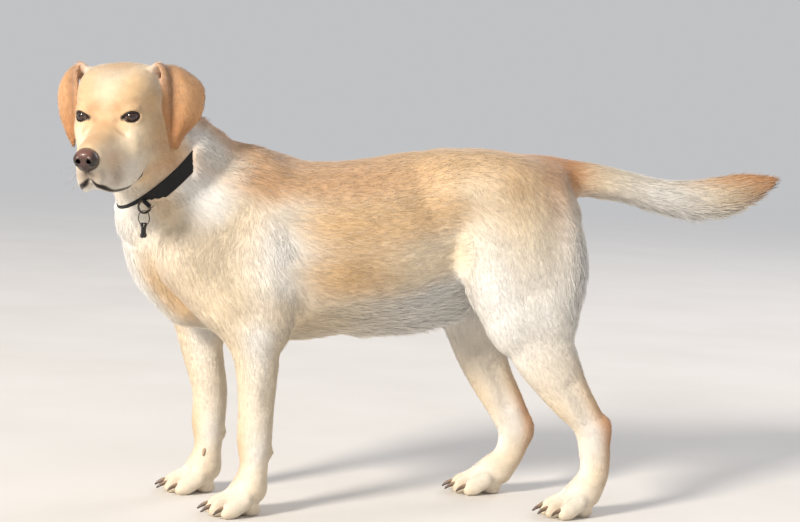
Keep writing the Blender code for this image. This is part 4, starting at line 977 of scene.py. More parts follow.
class Lie:
    """Length, colour, way and cover of the coat at points of the body."""

    def __init__(self, points, normals, off_ear):
        body, ear = follow(points, body_guides()), follow(points, ear_guides())
        on_ear = 1 - ramp(off_ear, 0.0015, 0.0050)[:, None]
        found = body + (ear - body) * on_ear
        self.hair = found[:, 0] * 0.001
        colour = found[:, 1:4]
        way = found[:, 4:7] - normals * (found[:, 4:7] * normals).sum(1)[:, None]
        self.way = way / np.maximum(np.linalg.norm(way, axis=1), 1e-6)[:, None]
        colour = colour * (1 + 0.05 * drift(points, 0.030, 3) + 0.04 * drift(points, 0.008, 4))[:, None]
        local = in_head(points)
        for (f, s, u), reach, shade, strength in HEAD_MARKS:
            near = np.hypot(np.hypot(local[:, 0] - f, np.abs(local[:, 1]) - s), local[:, 2] - u)
            share = strength * np.exp(-(near / reach) ** 2) * (1 - on_ear[:, 0])
            colour = toward(colour, share, SHADES[shade])
        lip = line_reach(points, LIP_LINE)
        cleft = line_reach(points, CLEFT_LINE)
        colour = toward(colour, 1 - ramp(lip, 0.0032, 0.0058), LIP_DARK)
        colour = toward(colour, 1 - ramp(cleft, 0.0024, 0.0042), LIP_DARK)
        rim = np.full(len(points), 1.0)
        socket = np.zeros(len(points), bool)
        for s in (-1, 1):
            edge, ahead = almond(points, s)
            at, gaze, along, _ = eye_place(s)
            near = np.linalg.norm(points - at, axis=1) < NEAR_EYE
            socket |= near & (ahead > 0) & (edge < FUR_BARE)
            edge = np.where(near & (ahead > 0), np.abs(edge), 1.0)
            # The inner corner is painted near black: dark skin, deepened as painted shade in the corner's
            # recess.
            corner = at - CORNER_IN * along + CORNER_AHEAD * gaze
            off_corner = np.linalg.norm(points - corner, axis=1)
            colour = toward(colour, 1 - ramp(off_corner, 0.0020, 0.0060), LID_DARK)
            rim = np.minimum(rim, edge)
        colour = toward(colour, 1 - ramp(rim, 0.0005, 0.0020), LID_DARK)
        nose = np.linalg.norm((local - NOSE_AT) / NOSE_HALF, axis=1)
        colour = toward(colour, 0.85 * (1 - ramp(nose, 1.04, 1.16)), LIP_DARK)
        self.colour = np.clip(colour, 0, 1)
        high, near_band, edge = strap_cover(points, off_ear)
        self.over_band = np.where(near_band & (high > 0) & (edge < 0.012), high - BAND_HALF, 1.0)
        bare = socket | (lip < 0.0036) | (cleft < 0.0022) | (nose < 1.02) | (points[:, 2] < FLOOR + 0.002)
        bare |= near_band & (high > edge - 0.001) & (np.abs(high) < BAND_HALF - 0.001)
        self.cover = np.where(bare, 0.0, 1.0)


skin_at = np.empty(len(skin.data.vertices) * 3, np.float32)
skin.data.vertices.foreach_get("co", skin_at)
skin_at = skin_at.reshape(-1, 3).astype(float) - HOME
skin_out = np.empty(len(skin.data.vertices) * 3, np.float32)
skin_faces = np.empty(len(skin.data.polygons) * 3, np.int32)
skin.data.polygons.foreach_get("vertices", skin_faces)
skin_faces = skin_faces.reshape(-1, 3)

HEAD_REACH = 0.19                 # nothing of the ears lies further than this from the head's middle
off_ear = np.full(len(skin_at), 1.0)
head_part = np.nonzero(np.linalg.norm(skin_at - HEAD_AT, axis=1) < HEAD_REACH)[0]
for s in (-1, 1):
    _, half, tree = ear_tree(s)
    for v in head_part:
        _, k, d = tree.find(skin_at[v])
        off_ear[v] = min(off_ear[v], d - half[k])

# Behind the ears and at the throat the coat lies over the strap, so the skin is raised there.
skin.data.vertex_normals.foreach_get("vector", skin_out)
high, near, edge = strap_cover(skin_at, off_ear)
slope = 0.004 + 0.010 * ramp(edge, 0.008, 0.026)
lift = STRAP_HIGH * near * ramp(edge - high, 0, slope)
lift = lift * ramp(high + 0.050, 0, 0.032) * ramp(edge, -0.015, -0.008)
skin_at = skin_at + skin_out.reshape(-1, 3) * lift[:, None]
skin.data.vertices.foreach_set("co", (skin_at + HOME).astype(np.float32).ravel())
skin.data.update()
skin.data.vertex_normals.foreach_get("vector", skin_out)
skin_out = skin_out.reshape(-1, 3).astype(float)
lie = Lie(skin_at, skin_out, off_ear)


def keep_colour(mesh, colours):
    """Store a colour at every point of a mesh."""
    store = mesh.color_attributes.new("coat_colour", "FLOAT_COLOR", "POINT")
    opaque = np.hstack([colours, np.ones((len(colours), 1))])
    store.data.foreach_set("color", opaque.astype(np.float32).ravel())


SHADE_BETWEEN_TUFTS = 0.86              # painted shade: the skin is darker where it shows between the tufts
keep_colour(skin.data, lie.colour * SHADE_BETWEEN_TUFTS)


# ---- The tufts: flat tapering blades of hair, each rooted just under the skin.
# Short ones lie close and overlap like tiles; the long ones of the fringes bend and hang.
FLAT_TUFTS = 320000
LONG_TUFTS = 20000
LONG_FROM = 0.0185              # hair longer than this is a bent tuft that hangs
TUFTS_IN_PIECE = 45000
LONG_IN_PIECE = 19900
PATCH = 0.003                   # size of each tuft's place on its map
MAP_SPAN = 1.25                 # metres of body that one tile of the map takes
ROOT_DEPTH = 0.0004             # how far under the skin a tuft is rooted
ROOT_SHADE_TONE = 0.86                # its tone at the root, darker as painted shade under the overlapping tufts, and at the tip, against the coat's there
TIP_TONE = 1.06
DARK_HAIR = np.array((0.64, 0.54, 0.46))      # what the darkest tufts keep of red, green and blue
FLAT_SEED = 21
LONG_SEED = 22
FIRST_FLAT_DRAW = 100
FIRST_LONG_DRAW = 200


def sow(count, share, seed):
    """Roots of tufts spread over the skin, as faces and places within them."""
    draw = np.random.default_rng(seed)
    pick = np.searchsorted(np.cumsum(share) / share.sum(), draw.random(count))
    pick = np.minimum(pick, len(share) - 1)
    a, b = draw.random((2, count))
    over = a + b > 1
    a, b = np.where(over, 1 - a, a), np.where(over, 1 - b, b)
    return pick, np.stack([1 - a - b, a, b], 1)


def at_roots(values, pick, place):
    """Values of the skin's points, read at the roots."""
    mixed = values[skin_faces[pick]]
    return np.einsum("ij,ij...->i...", place, mixed)


def blade_width(hair):
    """How wide tufts are at the root, for the length of their hair."""
    return np.clip(0.046 * hair + 0.00016, 0.00034, 0.0012)


def map_place(points, normals):
    """Where points lie on an unwrap of the skin: six sides of the body, left and right apart."""
    axis = np.abs(normals).argmax(1)
    sign = normals[np.arange(len(points)), axis] > 0
    tile = axis * 4 + sign * 2 + (points[:, 1] > -0.01)
    u = np.choose(axis, [points[:, 1], points[:, 0], points[:, 0]])
    v = np.choose(axis, [points[:, 2], points[:, 2], points[:, 1]])
    u = (u - u.min()) / MAP_SPAN
    v = (v - v.min()) / MAP_SPAN
    return np.stack([(tile % 4 + 0.03 + 0.94 * u) / 4, (tile // 4 + 0.03 + 0.94 * v) / 3], 1)


def grow(pick, place, seed, bent):
    """Points, faces, colours, normals and map places of tufts at the given roots."""
    draw = np.random.default_rng(seed)
    n = len(pick)
    out = unit(at_roots(skin_out, pick, place))
    root = at_roots(skin_at, pick, place) - out * ROOT_DEPTH
    way = at_roots(lie.way, pick, place)
    hair = at_roots(lie.hair, pick, place) * draw.uniform(0.72, 1.18, n)
    limit = at_roots(lie.over_band, pick, place)
    hair = np.minimum(hair, np.maximum(limit + 0.0010, 0.003))
    wide = blade_width(hair) * draw.uniform(0.8, 1.2, n)
    swirl = np.radians(draw.normal(0, 9, n) + 7 * drift(root, 0.02, seed + 1))
    if bent:
        swirl = swirl + np.radians(9 * drift(root, 0.006, seed + 2))
    side = np.cross(out, way)
    way = unit(way * np.cos(swirl)[:, None] + side * np.sin(swirl)[:, None])
    side = np.cross(out, way)
    rise = np.radians(np.clip(draw.normal(8.5, 2.6, n), 3, 18)) * (1 + 0.8 * ramp(root[:, 0], 0.36, 0.46))
    if bent:
        rise = rise + math.radians(4)
    length, half = hair[:, None], 0.5 * wide[:, None]
    lift = np.sin(rise)[:, None]
    run = np.cos(rise)[:, None]
    rings = [root - side * half, root + side * half, root + out * half * 0.9]
    if bent:
        droop = np.array((0, 0, -1.0)) * ramp(hair, 0.020, 0.036)[:, None]
        middle = root + length * 0.5 * (way * run + out * lift)
        last = unit(way * run + out * lift * 0.5 + droop * 0.55)
        rings += [middle - side * half * 0.75, middle + side * half * 0.75, middle + out * half * 0.7]
        rings.append(middle + length * 0.5 * last)
        corner = [(0, 2, 1), (0, 3, 2), (2, 3, 5), (2, 5, 1), (1, 5, 4), (1, 4, 0), (0, 4, 3),
                  (3, 6, 5), (5, 6, 4), (4, 6, 3)]
    else:
        rings.append(root + length * (way * run + out * lift))
        corner = [(0, 2, 1), (0, 3, 2), (2, 3, 1), (0, 1, 3)]
    many = len(rings)
    points = np.stack(rings, 1).reshape(-1, 3)
    points[:, 2] = np.maximum(points[:, 2], FLOOR)
    faces = (np.array(corner)[None] + many * np.arange(n)[:, None, None]).reshape(-1, 3)
    colour = at_roots(lie.colour, pick, place)
    warmth = np.clip(1.6 * (colour[:, 0] - colour[:, 2]) - 0.25, 0.12, 1)
    dark = draw.random(n) ** 2.2 * warmth * (0.6 if bent else 1.0)
    colour = colour + (colour * DARK_HAIR - colour) * dark[:, None] * 0.62
    pale = draw.random(n) ** 5
    colour = toward(colour, pale * 0.35 * (colour[:, 0] > 0.3), SHADES["white"])
    colour = colour * (1 + draw.normal(0, 0.04, n))[:, None]
    tone = np.ones(many)
    # Painted shade: each tuft is darker at its root, under its neighbours.
    tone[:3] = ROOT_SHADE_TONE
    tone[-1] = TIP_TONE
    colour = np.clip(colour[:, None] * tone[None, :, None], 0, 1).reshape(-1, 3)
    lean = unit(out + side * draw.normal(0, 0.11, n)[:, None] + way * draw.normal(0.05, 0.08, n)[:, None])
    normal = np.repeat(lean, many, 0)
    spot = map_place(root, out)
    share = {4: [(-.5, -.5), (.5, -.5), (0, 0), (0, .5)],
             7: [(-.5, -.5), (.5, -.5), (0, -.35), (-.3, 0), (.3, 0), (0, .1), (0, .5)]}[many]
    spots = (spot[:, None] + PATCH * np.array(share)[None]).reshape(-1, 2)
    return points, faces, colour, normal, spots


def coat_piece(name, pick, place, seed, bent):
    """One piece of the coat, grown from its share of the roots."""
    points, faces, colour, normal, spots = grow(pick, place, seed, bent)
    mesh = mesh_of(name, points + HOME, faces)
    keep_colour(mesh, colour)
    sheet = mesh.uv_layers.new(name="OFBake")
    sheet.data.foreach_set("uv", spots[faces.ravel()].astype(np.float32).ravel())
    mesh.shade_smooth()
    mesh.normals_split_custom_set_from_vertices(normal.astype(np.float32))
    piece = add_object(name, mesh)
    mesh.materials.append(coat_fur)
    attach(piece, "root")
    return piece


def add_node(tree, kind, inputs=None, stops=None, **settings):
    """A shader node with its settings, its inputs as numbers or as links, and its colour stops."""
    made = tree.nodes.new(kind)
    for key, value in settings.items():
        setattr(made, key, value)
    for key, value in (inputs or {}).items():
        if isinstance(value, bpy.types.NodeSocket):
            tree.links.new(value, made.inputs[key])
        else:
            made.inputs[key].default_value = value
    if stops:
        while len(made.color_ramp.elements) < len(stops):
            made.color_ramp.elements.new(0.5)
        for element, (at, shade) in zip(made.color_ramp.elements, stops):
            element.position = at
            element.color = (*paint(shade), 1.0)
    return made


def new_finish(name, **looks):
    """A material whose shader has the given settings; returns it with its tree and shader."""
    material = bpy.data.materials.new(name)
    material.use_nodes = True
    tree = material.node_tree
    shader = tree.nodes["Principled BSDF"]
    for key, value in looks.items():
        shader.inputs[key.replace("_", " ")].default_value = value
    return material, tree, shader


# Guard hair and undercoat: each blade carries its own shade; a soft sheen where light grazes it,
# and fine darker and lighter flecks from the banded hairs. They are drawn 2.4 mm wide, as coarse as
# they need to be to show.
coat_fur, tree, shader = new_finish("coat_fur", Roughness=0.58, Sheen_Weight=0.18, Sheen_Roughness=0.45,
                                    Specular_IOR_Level=0.22)
shade = add_node(tree, "ShaderNodeAttribute", attribute_name="coat_colour")
place = add_node(tree, "ShaderNodeTexCoord")
flecks = add_node(tree, "ShaderNodeTexNoise", {"Vector": place.outputs["Object"], "Scale": 420.0,
                                               "Detail": 2.0})
spread = add_node(tree, "ShaderNodeMapRange", {"Value": flecks.outputs["Fac"], "From Min": 0.3,
                                               "From Max": 0.7, "To Min": 0.90, "To Max": 1.07})
mixed = add_node(tree, "ShaderNodeVectorMath", {0: shade.outputs["Color"], 1: spread.outputs["Result"]},
                 operation="MULTIPLY")
tree.links.new(mixed.outputs["Vector"], shader.inputs["Base Color"])

# The skin under it: the same markings, with the pits and ends of the finest hair as a bump. They
# are drawn 1.1 mm wide, as coarse as they need to be to show.
skin_fur, tree, shader = new_finish("skin_fur", Roughness=0.62, Sheen_Weight=0.12,
                                    Specular_IOR_Level=0.20)
shade = add_node(tree, "ShaderNodeAttribute", attribute_name="coat_colour")
place = add_node(tree, "ShaderNodeTexCoord")
fine = add_node(tree, "ShaderNodeTexNoise", {"Vector": place.outputs["Object"], "Scale": 900.0,
                                             "Detail": 3.0})
spread = add_node(tree, "ShaderNodeMapRange", {"Value": fine.outputs["Fac"], "From Min": 0.3,
                                               "From Max": 0.7, "To Min": 0.86, "To Max": 1.08})
mixed = add_node(tree, "ShaderNodeVectorMath", {0: shade.outputs["Color"], 1: spread.outputs["Result"]},
                 operation="MULTIPLY")
tree.links.new(mixed.outputs["Vector"], shader.inputs["Base Color"])
pits = add_node(tree, "ShaderNodeBump", {"Height": fine.outputs["Fac"], "Strength": 0.5,
                                         "Distance": 0.0006})
tree.links.new(pits.outputs["Normal"], shader.inputs["Normal"])
skin.data.materials.append(skin_fur)



def plant(name, count, in_piece, share, seed, first_draw, bent):
    """Sow tufts and grow them in pieces that follow each other from head to tail."""
    pick, place = sow(count, share, seed)
    order = np.argsort(skin_at[skin_faces[pick, 0], 0], kind="stable")
    for i, some in enumerate(np.array_split(order, math.ceil(count / in_piece))):
        coat_piece(name + str(i + 1), pick[some], place[some], first_draw + i, bent)


corners = skin_at[skin_faces]
face_area = 0.5 * np.linalg.norm(np.cross(corners[:, 1] - corners[:, 0], corners[:, 2] - corners[:, 0]),
                                 axis=1)
face_hair = lie.hair[skin_faces].mean(1)
face_cover = lie.cover[skin_faces].min(1)
crowd = 1 / (face_hair * blade_width(face_hair))
crowd = crowd * (0.75 + 0.25 * ramp(face_hair, 0.004, 0.012))
share = face_area * face_cover * crowd * (face_hair < LONG_FROM)
plant("coat_", FLAT_TUFTS, TUFTS_IN_PIECE, share, FLAT_SEED, FIRST_FLAT_DRAW, False)
share = face_area * face_cover * crowd * (face_hair >= LONG_FROM)
plant("fringe_", LONG_TUFTS, LONG_IN_PIECE, share, LONG_SEED, FIRST_LONG_DRAW, True)


# ---- The eyes: dark brown, set in almond openings with black margins.
# Each is a ball with a slightly raised clear front, and it stands just inside its lids.
IRIS_EDGE = 33.0                  # degrees from the middle of the gaze
PUPIL_EDGE = 13.0
FRONT_RISE = 0.05                 # of the ball's radius
RIM_WIRE = 0.00075                # half thickness of the lids' black margin
RIM_STEPS = 36

# Wet cornea over a dark brown iris with a darker outer ring: sharp catchlights, little white, and
# rays about 1 mm wide that vary the brown.
eye_wet, tree, shader = new_finish("eye_wet", Roughness=0.12, IOR=1.38, Coat_Weight=1.0,
                                   Coat_Roughness=0.02)
around = add_node(tree, "ShaderNodeUVMap", uv_map="UVMap")
split = add_node(tree, "ShaderNodeSeparateXYZ", {"Vector": around.outputs["UV"]})
iris = add_node(tree, "ShaderNodeValToRGB", {"Fac": split.outputs["Y"]}, [
    (0.0, "#5b453c"), (0.780, "#54403a"), (1 - (IRIS_EDGE + 1.5) / 180, "#1c120d"),
    (1 - (IRIS_EDGE - 5) / 180, "#2b180e"), (1 - (PUPIL_EDGE + 6) / 180, "#3d2111"),
    (1 - (PUPIL_EDGE + 0.8) / 180, "#2e190d"), (1 - PUPIL_EDGE / 180, "#050404")])
rays = add_node(tree, "ShaderNodeTexNoise", {"Vector": around.outputs["UV"], "Scale": 60.0})
dim = add_node(tree, "ShaderNodeMapRange", {"Value": rays.outputs["Fac"], "To Min": 0.7, "To Max": 1.25})
mixed = add_node(tree, "ShaderNodeVectorMath", {0: iris.outputs["Color"], 1: dim.outputs["Result"]},
                 operation="MULTIPLY")
tree.links.new(mixed.outputs["Vector"], shader.inputs["Base Color"])

# Bare black skin of the lid margins, kept moist, with pits 0.7 mm wide.
lid_margin, tree, shader = new_finish("lid_margin", Roughness=0.32, Coat_Weight=0.3)
shader.inputs["Base Color"].default_value = (*paint("#1e1613"), 1)
place = add_node(tree, "ShaderNodeTexCoord")
fine = add_node(tree, "ShaderNodeTexNoise", {"Vector": place.outputs["Object"], "Scale": 1500.0})
pits = add_node(tree, "ShaderNodeBump", {"Height": fine.outputs["Fac"], "Strength": 0.3,
                                         "Distance": 0.0002})
tree.links.new(pits.outputs["Normal"], shader.inputs["Normal"])


def select(*pieces):
    """Make these the selected objects, and the first of them the active one."""
    bpy.ops.object.select_all(action="DESELECT")
    for piece in pieces:
        piece.select_set(True)
    bpy.context.view_layer.objects.active = pieces[0]


def wire(name, points, thick, material, closed=False, sizes=None, sides=4):
    """A round wire of mesh along points, drawn as a bevelled curve first."""
    curve = bpy.data.curves.new(name, "CURVE")
    curve.dimensions = "3D"
    curve.bevel_depth = thick
    curve.bevel_resolution = sides
    curve.use_fill_caps = True
    spline = curve.splines.new("POLY")
    spline.points.add(len(points) - 1)
    spline.use_cyclic_u = closed
    for i, (knot, at) in enumerate(zip(spline.points, points)):
        knot.co = (*at, 1.0)
        knot.radius = 1.0 if sizes is None else sizes[i]
    select(add_object(name, curve))
    bpy.ops.object.convert(target="MESH")
    made = bpy.context.object
    made.data.materials.clear()
    made.data.materials.append(material)
    made.data.shade_smooth()
    return made


for side, s in (("left", 1), ("right", -1)):
    at, gaze, along, high = eye_place(s)
    bpy.ops.object.select_all(action="DESELECT")
    bpy.ops.mesh.primitive_uv_sphere_add(segments=48, ring_count=36, radius=EYE_BALL)
    ball = bpy.context.object
    ball.name = "eyeball_" + side
    edge = math.cos(math.radians(IRIS_EDGE + 4))
    for v in ball.data.vertices:
        front = max(v.co.z / EYE_BALL - edge, 0) / (1 - edge)
        v.co *= 1 + FRONT_RISE * math.sin(front * math.pi / 2)
    turn = Matrix([list(along * s), list(high), list(gaze)]).transposed().to_4x4()
    ball.data.transform(Matrix.Translation(Vector(at - 0.0004 * gaze + HOME)) @ turn)
    ball.data.shade_smooth()
    ball.data.materials.append(eye_wet)
    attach(ball, "root")
    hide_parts("eye_" + side)
    w, h = ALMOND_HALF
    bend = (w * w + h * h) / (2 * h)
    rim_points = []
    for t in np.linspace(0, 2 * math.pi, RIM_STEPS + 1)[:-1]:
        x, y = w * math.cos(t), h * math.sin(t)
        if x < 0:
            y = math.copysign(math.sqrt(bend * bend - x * x) - (bend - h), y)
        deep = math.sqrt(max((EYE_BALL + 0.0011) ** 2 - x * x - y * y, 0.0035 ** 2))
        rim_points.append(at + x * along + y * high + deep * gaze + HOME)
    rim = wire("lid_rim_" + side, rim_points, RIM_WIRE, lid_margin, closed=True)
    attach(rim, "root")


# ---- The nose: bare pebbled brown leather, painted lighter on top as a highlight and darker at the sides and below as shade.
# It has two comma-shaped nostrils and a groove down its middle, and it is always a little wet.
NOSE_STEP = 0.0009


def nose_form(form):
    """The pad of the nose with its wings, nostrils, slits and groove."""
    n = np.array(NOSE_AT)

    def at(f, s, u):
        return on_head(*(n + (f, s, u)))

    def rows(*rod):
        return head_rows([(*(n + r[:3]), *r[3:]) for r in rod])

    lump(form, at(-0.0015, 0, 0.0022), (0.0125, 0.0160, 0.0118), 0.004, HEAD)
    lump(form, at(-0.0030, 0, -0.0050), (0.0120, 0.0120, 0.0100), 0.004, HEAD)
    lump(form, at(0.0005, 0, 0.0070), (0.0108, 0.0140, 0.0078), 0.004, HEAD)
    for s in (-1, 1):
        lump(form, at(0.0000, s * 0.0088, -0.0012), (0.0118, 0.0088, 0.0098), 0.0035, HEAD)
        lump(form, at(0.0012, s * 0.0100, 0.0022), (0.0100, 0.0066, 0.0050), 0.0030, HEAD)
    lump(form, at(0.0030, 0, -0.0070), (0.0080, 0.0052, 0.0090), 0.004, HEAD)
    for s in (-1, 1):
        hole = rows((0.0135, s * 0.0068, 0.0002, 0.0028, 0.0028),
                    (0.0100, s * 0.0078, -0.0008, 0.0030, 0.0030),
                    (0.0040, s * 0.0080, -0.0008, 0.0022, 0.0026))
        muscle(form, hole, 0.0022, side=HEAD[1], sign=-1)
        slit = rows((0.0112, s * 0.0092, -0.0026, 0.0016, 0.0015),
                    (0.0090, s * 0.0130, -0.0050, 0.0015, 0.0012),
                    (0.0045, s * 0.0172, -0.0060, 0.0013, 0.0010))
        muscle(form, slit, 0.0020, side=HEAD[2], sign=-1)
    groove = rows((0.0135, 0, 0.0040, 0.0004, 0.0008), (0.0132, 0, -0.0030, 0.0006, 0.0012),
                  (0.0110, 0, -0.0160, 0.0006, 0.0014))
    muscle(form, groove, 0.0022, side=HEAD[1], sign=-1)


middle = on_head(*NOSE_AT)
nose_field = Lattice(middle - 0.025, middle + 0.025, NOSE_STEP)
nose_form(nose_field)
nose_at, nose_faces = surface(nose_field)
nose = add_object("nose_leather", mesh_of("nose_leather", nose_at + HOME, nose_faces))
nose.data.shade_smooth()
local = in_head(nose_at) - NOSE_AT
hollow = np.full(len(nose_at), 1.0)
for s in (-1, 1):
    for spot in ((0.0100, 0.0078, -0.0008), (0.0060, 0.0080, -0.0008), (0.0088, 0.0118, -0.0042)):
        hollow = np.minimum(hollow, np.linalg.norm(local - (spot[0], s * spot[1], spot[2]), axis=1))
leather = np.tile(paint("#412a24"), (len(nose_at), 1))
# Painted highlight on top of the pad, and painted shade at its sides and underneath.
leather = toward(leather, ramp(local[:, 2], 0.001, 0.012), "#6b463b")
leather = toward(leather, ramp(np.abs(local[:, 1]), 0.008, 0.0155), "#2b1c19")
leather = toward(leather, ramp(-local[:, 2], 0.003, 0.012) * 0.8, "#2c1d1a")
# Painted shade: the nostrils are near black inside.
leather = toward(leather, 1 - ramp(hollow, 0.0030, 0.0048), "#070505")
keep_colour(nose.data, leather)

# Wet pebbled hide: cells about a millimetre across, and a broken gloss.
nose_hide, tree, shader = new_finish("nose_hide", Roughness=0.36, Coat_Weight=0.35, Coat_Roughness=0.18)
shade = add_node(tree, "ShaderNodeAttribute", attribute_name="coat_colour")
tree.links.new(shade.outputs["Color"], shader.inputs["Base Color"])
place = add_node(tree, "ShaderNodeTexCoord")
pebbles = add_node(tree, "ShaderNodeTexVoronoi", {"Vector": place.outputs["Object"], "Scale": 1000.0})
bumps = add_node(tree, "ShaderNodeBump", {"Height": pebbles.outputs["Distance"], "Strength": 0.45,
                                          "Distance": 0.0004}, invert=True)
tree.links.new(bumps.outputs["Normal"], shader.inputs["Normal"])
nose.data.materials.append(nose_hide)
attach(nose, "root")
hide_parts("nose")


# ---- The claws: short horn, pale at the root and greyer at the tip, one at the end of each toe.
# They are copies of the solid ones, made round.
def smooth_copy(node, levels):
    """A copy of a solid with its facets rounded off."""
    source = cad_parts[node]
    copy = add_object(node + "_copy", source.data.copy())
    select(copy)
    copy.data.materials.clear()
    bpy.ops.object.mode_set(mode="EDIT")
    bpy.ops.mesh.select_all(action="SELECT")
    bpy.ops.mesh.remove_doubles(threshold=0.00002)
    bpy.ops.mesh.tris_convert_to_quads()
    bpy.ops.object.mode_set(mode="OBJECT")
    if levels:
        round_off = copy.modifiers.new("round", "SUBSURF")
        round_off.levels = levels
        round_off.render_levels = levels
        bpy.ops.object.modifier_apply(modifier=round_off.name)
    if copy.data.has_custom_normals:
        bpy.ops.mesh.customdata_custom_splitnormals_clear()
    copy.data.shade_smooth()
    return copy


def swell(piece, by):
    """Push a mesh out along its normals, to give back what the rounding took."""
    ways = [v.normal.copy() for v in piece.data.vertices]
    for v, way in zip(piece.data.vertices, ways):
        v.co += way * by


CLAWS = ["claw_%s_%d" % (paw, i) for paw in PAWS for i in (1, 2, 3, 4)]
CLAWS += ["dewclaw_left", "dewclaw_right"]

# Keratin: smooth horn with a grain of 0.8 mm, pale at the root and dark towards the ground.
claw_horn, tree, shader = new_finish("claw_horn", Roughness=0.38, IOR=1.54, Coat_Weight=0.15)
place = add_node(tree, "ShaderNodeTexCoord")
split = add_node(tree, "ShaderNodeSeparateXYZ", {"Vector": place.outputs["Object"]})
low_down = add_node(tree, "ShaderNodeMapRange", {"Value": split.outputs["Z"], "From Min": 0.006,
                                                 "From Max": 0.020})
horn = add_node(tree, "ShaderNodeValToRGB", {"Fac": low_down.outputs["Result"]},
                [(0.0, "#2b231e"), (0.55, "#5d4a3c"), (1.0, "#a58d74")])
tree.links.new(horn.outputs["Color"], shader.inputs["Base Color"])
grain = add_node(tree, "ShaderNodeTexNoise", {"Vector": place.outputs["Object"], "Scale": 1200.0})
ridges = add_node(tree, "ShaderNodeBump", {"Height": grain.outputs["Fac"], "Strength": 0.25,
                                           "Distance": 0.0002})
tree.links.new(ridges.outputs["Normal"], shader.inputs["Normal"])

copies = [smooth_copy(name, 2) for name in CLAWS]
for copy in copies:
    swell(copy, 0.0006)
select(*copies)
bpy.ops.object.join()
claws = bpy.context.object
claws.name = "claws"
claws.data.materials.append(claw_horn)
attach(claws, "root")
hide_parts(*CLAWS)


# ---- The whiskers: a few stiff tapering hairs on the lips and over each eye.
# They grow in rows, and most are pale. Each is drawn tapering to a fine tip.
WHISKERS = [                      # root on the head, way it points, length in mm
    ((0.132, 0.026, -0.050), (0.25, 1.0, -0.30), 22), ((0.120, 0.031, -0.046), (0.05, 1.0, -0.20), 30),
    ((0.106, 0.035, -0.046), (-0.25, 1.0, -0.20), 34), ((0.126, 0.028, -0.060), (0.15, 1.0, -0.60), 24),
    ((0.112, 0.033, -0.060), (-0.05, 1.0, -0.50), 32), ((0.098, 0.037, -0.060), (-0.35, 1.0, -0.45), 36),
    ((0.118, 0.030, -0.071), (0.05, 0.9, -0.80), 24), ((0.102, 0.034, -0.072), (-0.20, 0.9, -0.75), 30),
    ((0.088, 0.038, -0.070), (-0.50, 0.9, -0.60), 32), ((0.082, 0.030, 0.040), (0.60, 0.55, 0.70), 18),
    ((0.076, 0.038, 0.040), (0.40, 0.75, 0.70), 20), ((0.052, 0.064, -0.020), (0.10, 1.0, -0.30), 20)]
WHISKER_THICK = 0.00016           # half of their thickness at the root
WHISKER_SET = 0.002               # how deep the root is set

# Stiff horny hair, smooth and pale, with a few dark ones among them.
whisker_hair, tree, shader = new_finish("whisker_hair", Roughness=0.35)
place = add_node(tree, "ShaderNodeTexCoord")
fine = add_node(tree, "ShaderNodeTexNoise", {"Vector": place.outputs["Object"], "Scale": 90.0})
tint = add_node(tree, "ShaderNodeValToRGB", {"Fac": fine.outputs["Fac"]},
                [(0.42, "#5b493c"), (0.62, "#d8cab6")])
tree.links.new(tint.outputs["Color"], shader.inputs["Base Color"])
drawn = []
for (f, w, u), (af, aw, au), length in WHISKERS:
    for s in (-1, 1):
        root = on_head(f - WHISKER_SET * af, s * (w - WHISKER_SET), u)
        way = unit(np.array([(af * HEAD[0] + s * aw * HEAD[1] + au * HEAD[2])]))[0]
        points, sizes = [], []
        for t in np.linspace(0, 1, 7):
            fall = 0.22 * t * t * np.array((0, 0, -1.0)) + 0.10 * t * t * -HEAD[0]
            points.append(root + (way * t + fall) * length * 0.001 + HOME)
            sizes.append(1 - 0.85 * t)
        drawn.append(wire("whisker", points, WHISKER_THICK, whisker_hair, sizes=sizes, sides=1))
select(*drawn)
bpy.ops.object.join()
whiskers = bpy.context.object
whiskers.name = "whiskers"
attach(whiskers, "root")


# ---- The collar: a flat band of black nylon webbing pulled into the coat, 24 mm wide.
# Its edges are woven over and stand a little proud of its face. It follows the solid collar's path.
BAND_STEPS = 180
BAND_SIDES = 28                   # straight sides of the solid collar, turned into a smooth loop
BAND_PROFILE = [(-1.00, 0.30), (-0.99, 0.72), (-0.93, 1.00), (-0.84, 1.06), (-0.76, 0.97), (-0.40, 1.02),
                (0.00, 1.03), (0.40, 1.02), (0.76, 0.97), (0.84, 1.06), (0.93, 1.00), (0.99, 0.72),
                (1.00, 0.30), (0.93, 0.0), (0.0, 0.0), (-0.93, 0.0)]
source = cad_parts["collar"].data
spots = np.array([list(v.co) for v in source.vertices])
spots = np.unique(np.round(spots, 6), axis=0) - HOME - COLLAR_AT
across_a = np.cross(COLLAR_UP, (0, 1.0, 0))
across_a = across_a / np.linalg.norm(across_a)
across_b = np.cross(COLLAR_UP, across_a)
turn = np.degrees(np.arctan2(spots @ across_b, spots @ across_a))
bins = np.round(turn / 360 * BAND_SIDES).astype(int) % BAND_SIDES
corner_runs = {}
for level in (-1, 1):
    for layer, choose in (("in", min), ("out", max)):
        run = []
        for i in range(BAND_SIDES):
            here = [p for p, k in zip(spots, bins) if k == i and (p @ COLLAR_UP) * level > 0]
            run.append(choose(here, key=lambda p: np.linalg.norm(p - COLLAR_UP * (p @ COLLAR_UP))))
        corner_runs[level, layer] = np.array(run)


def round_loop(run, steps):
    """A smooth closed loop through a loop of points."""
    count = len(run)
    at = np.arange(steps) * count / steps
    i = np.floor(at).astype(int)
    t = (at - i)[:, None]
    a, b, c, d = run[i - 1], run[i % count], run[(i + 1) % count], run[(i + 2) % count]
    return 0.5 * (2 * b + (c - a) * t + (2 * a - 5 * b + 4 * c - d) * t * t
                  + (3 * b - a - 3 * c + d) * t ** 3)


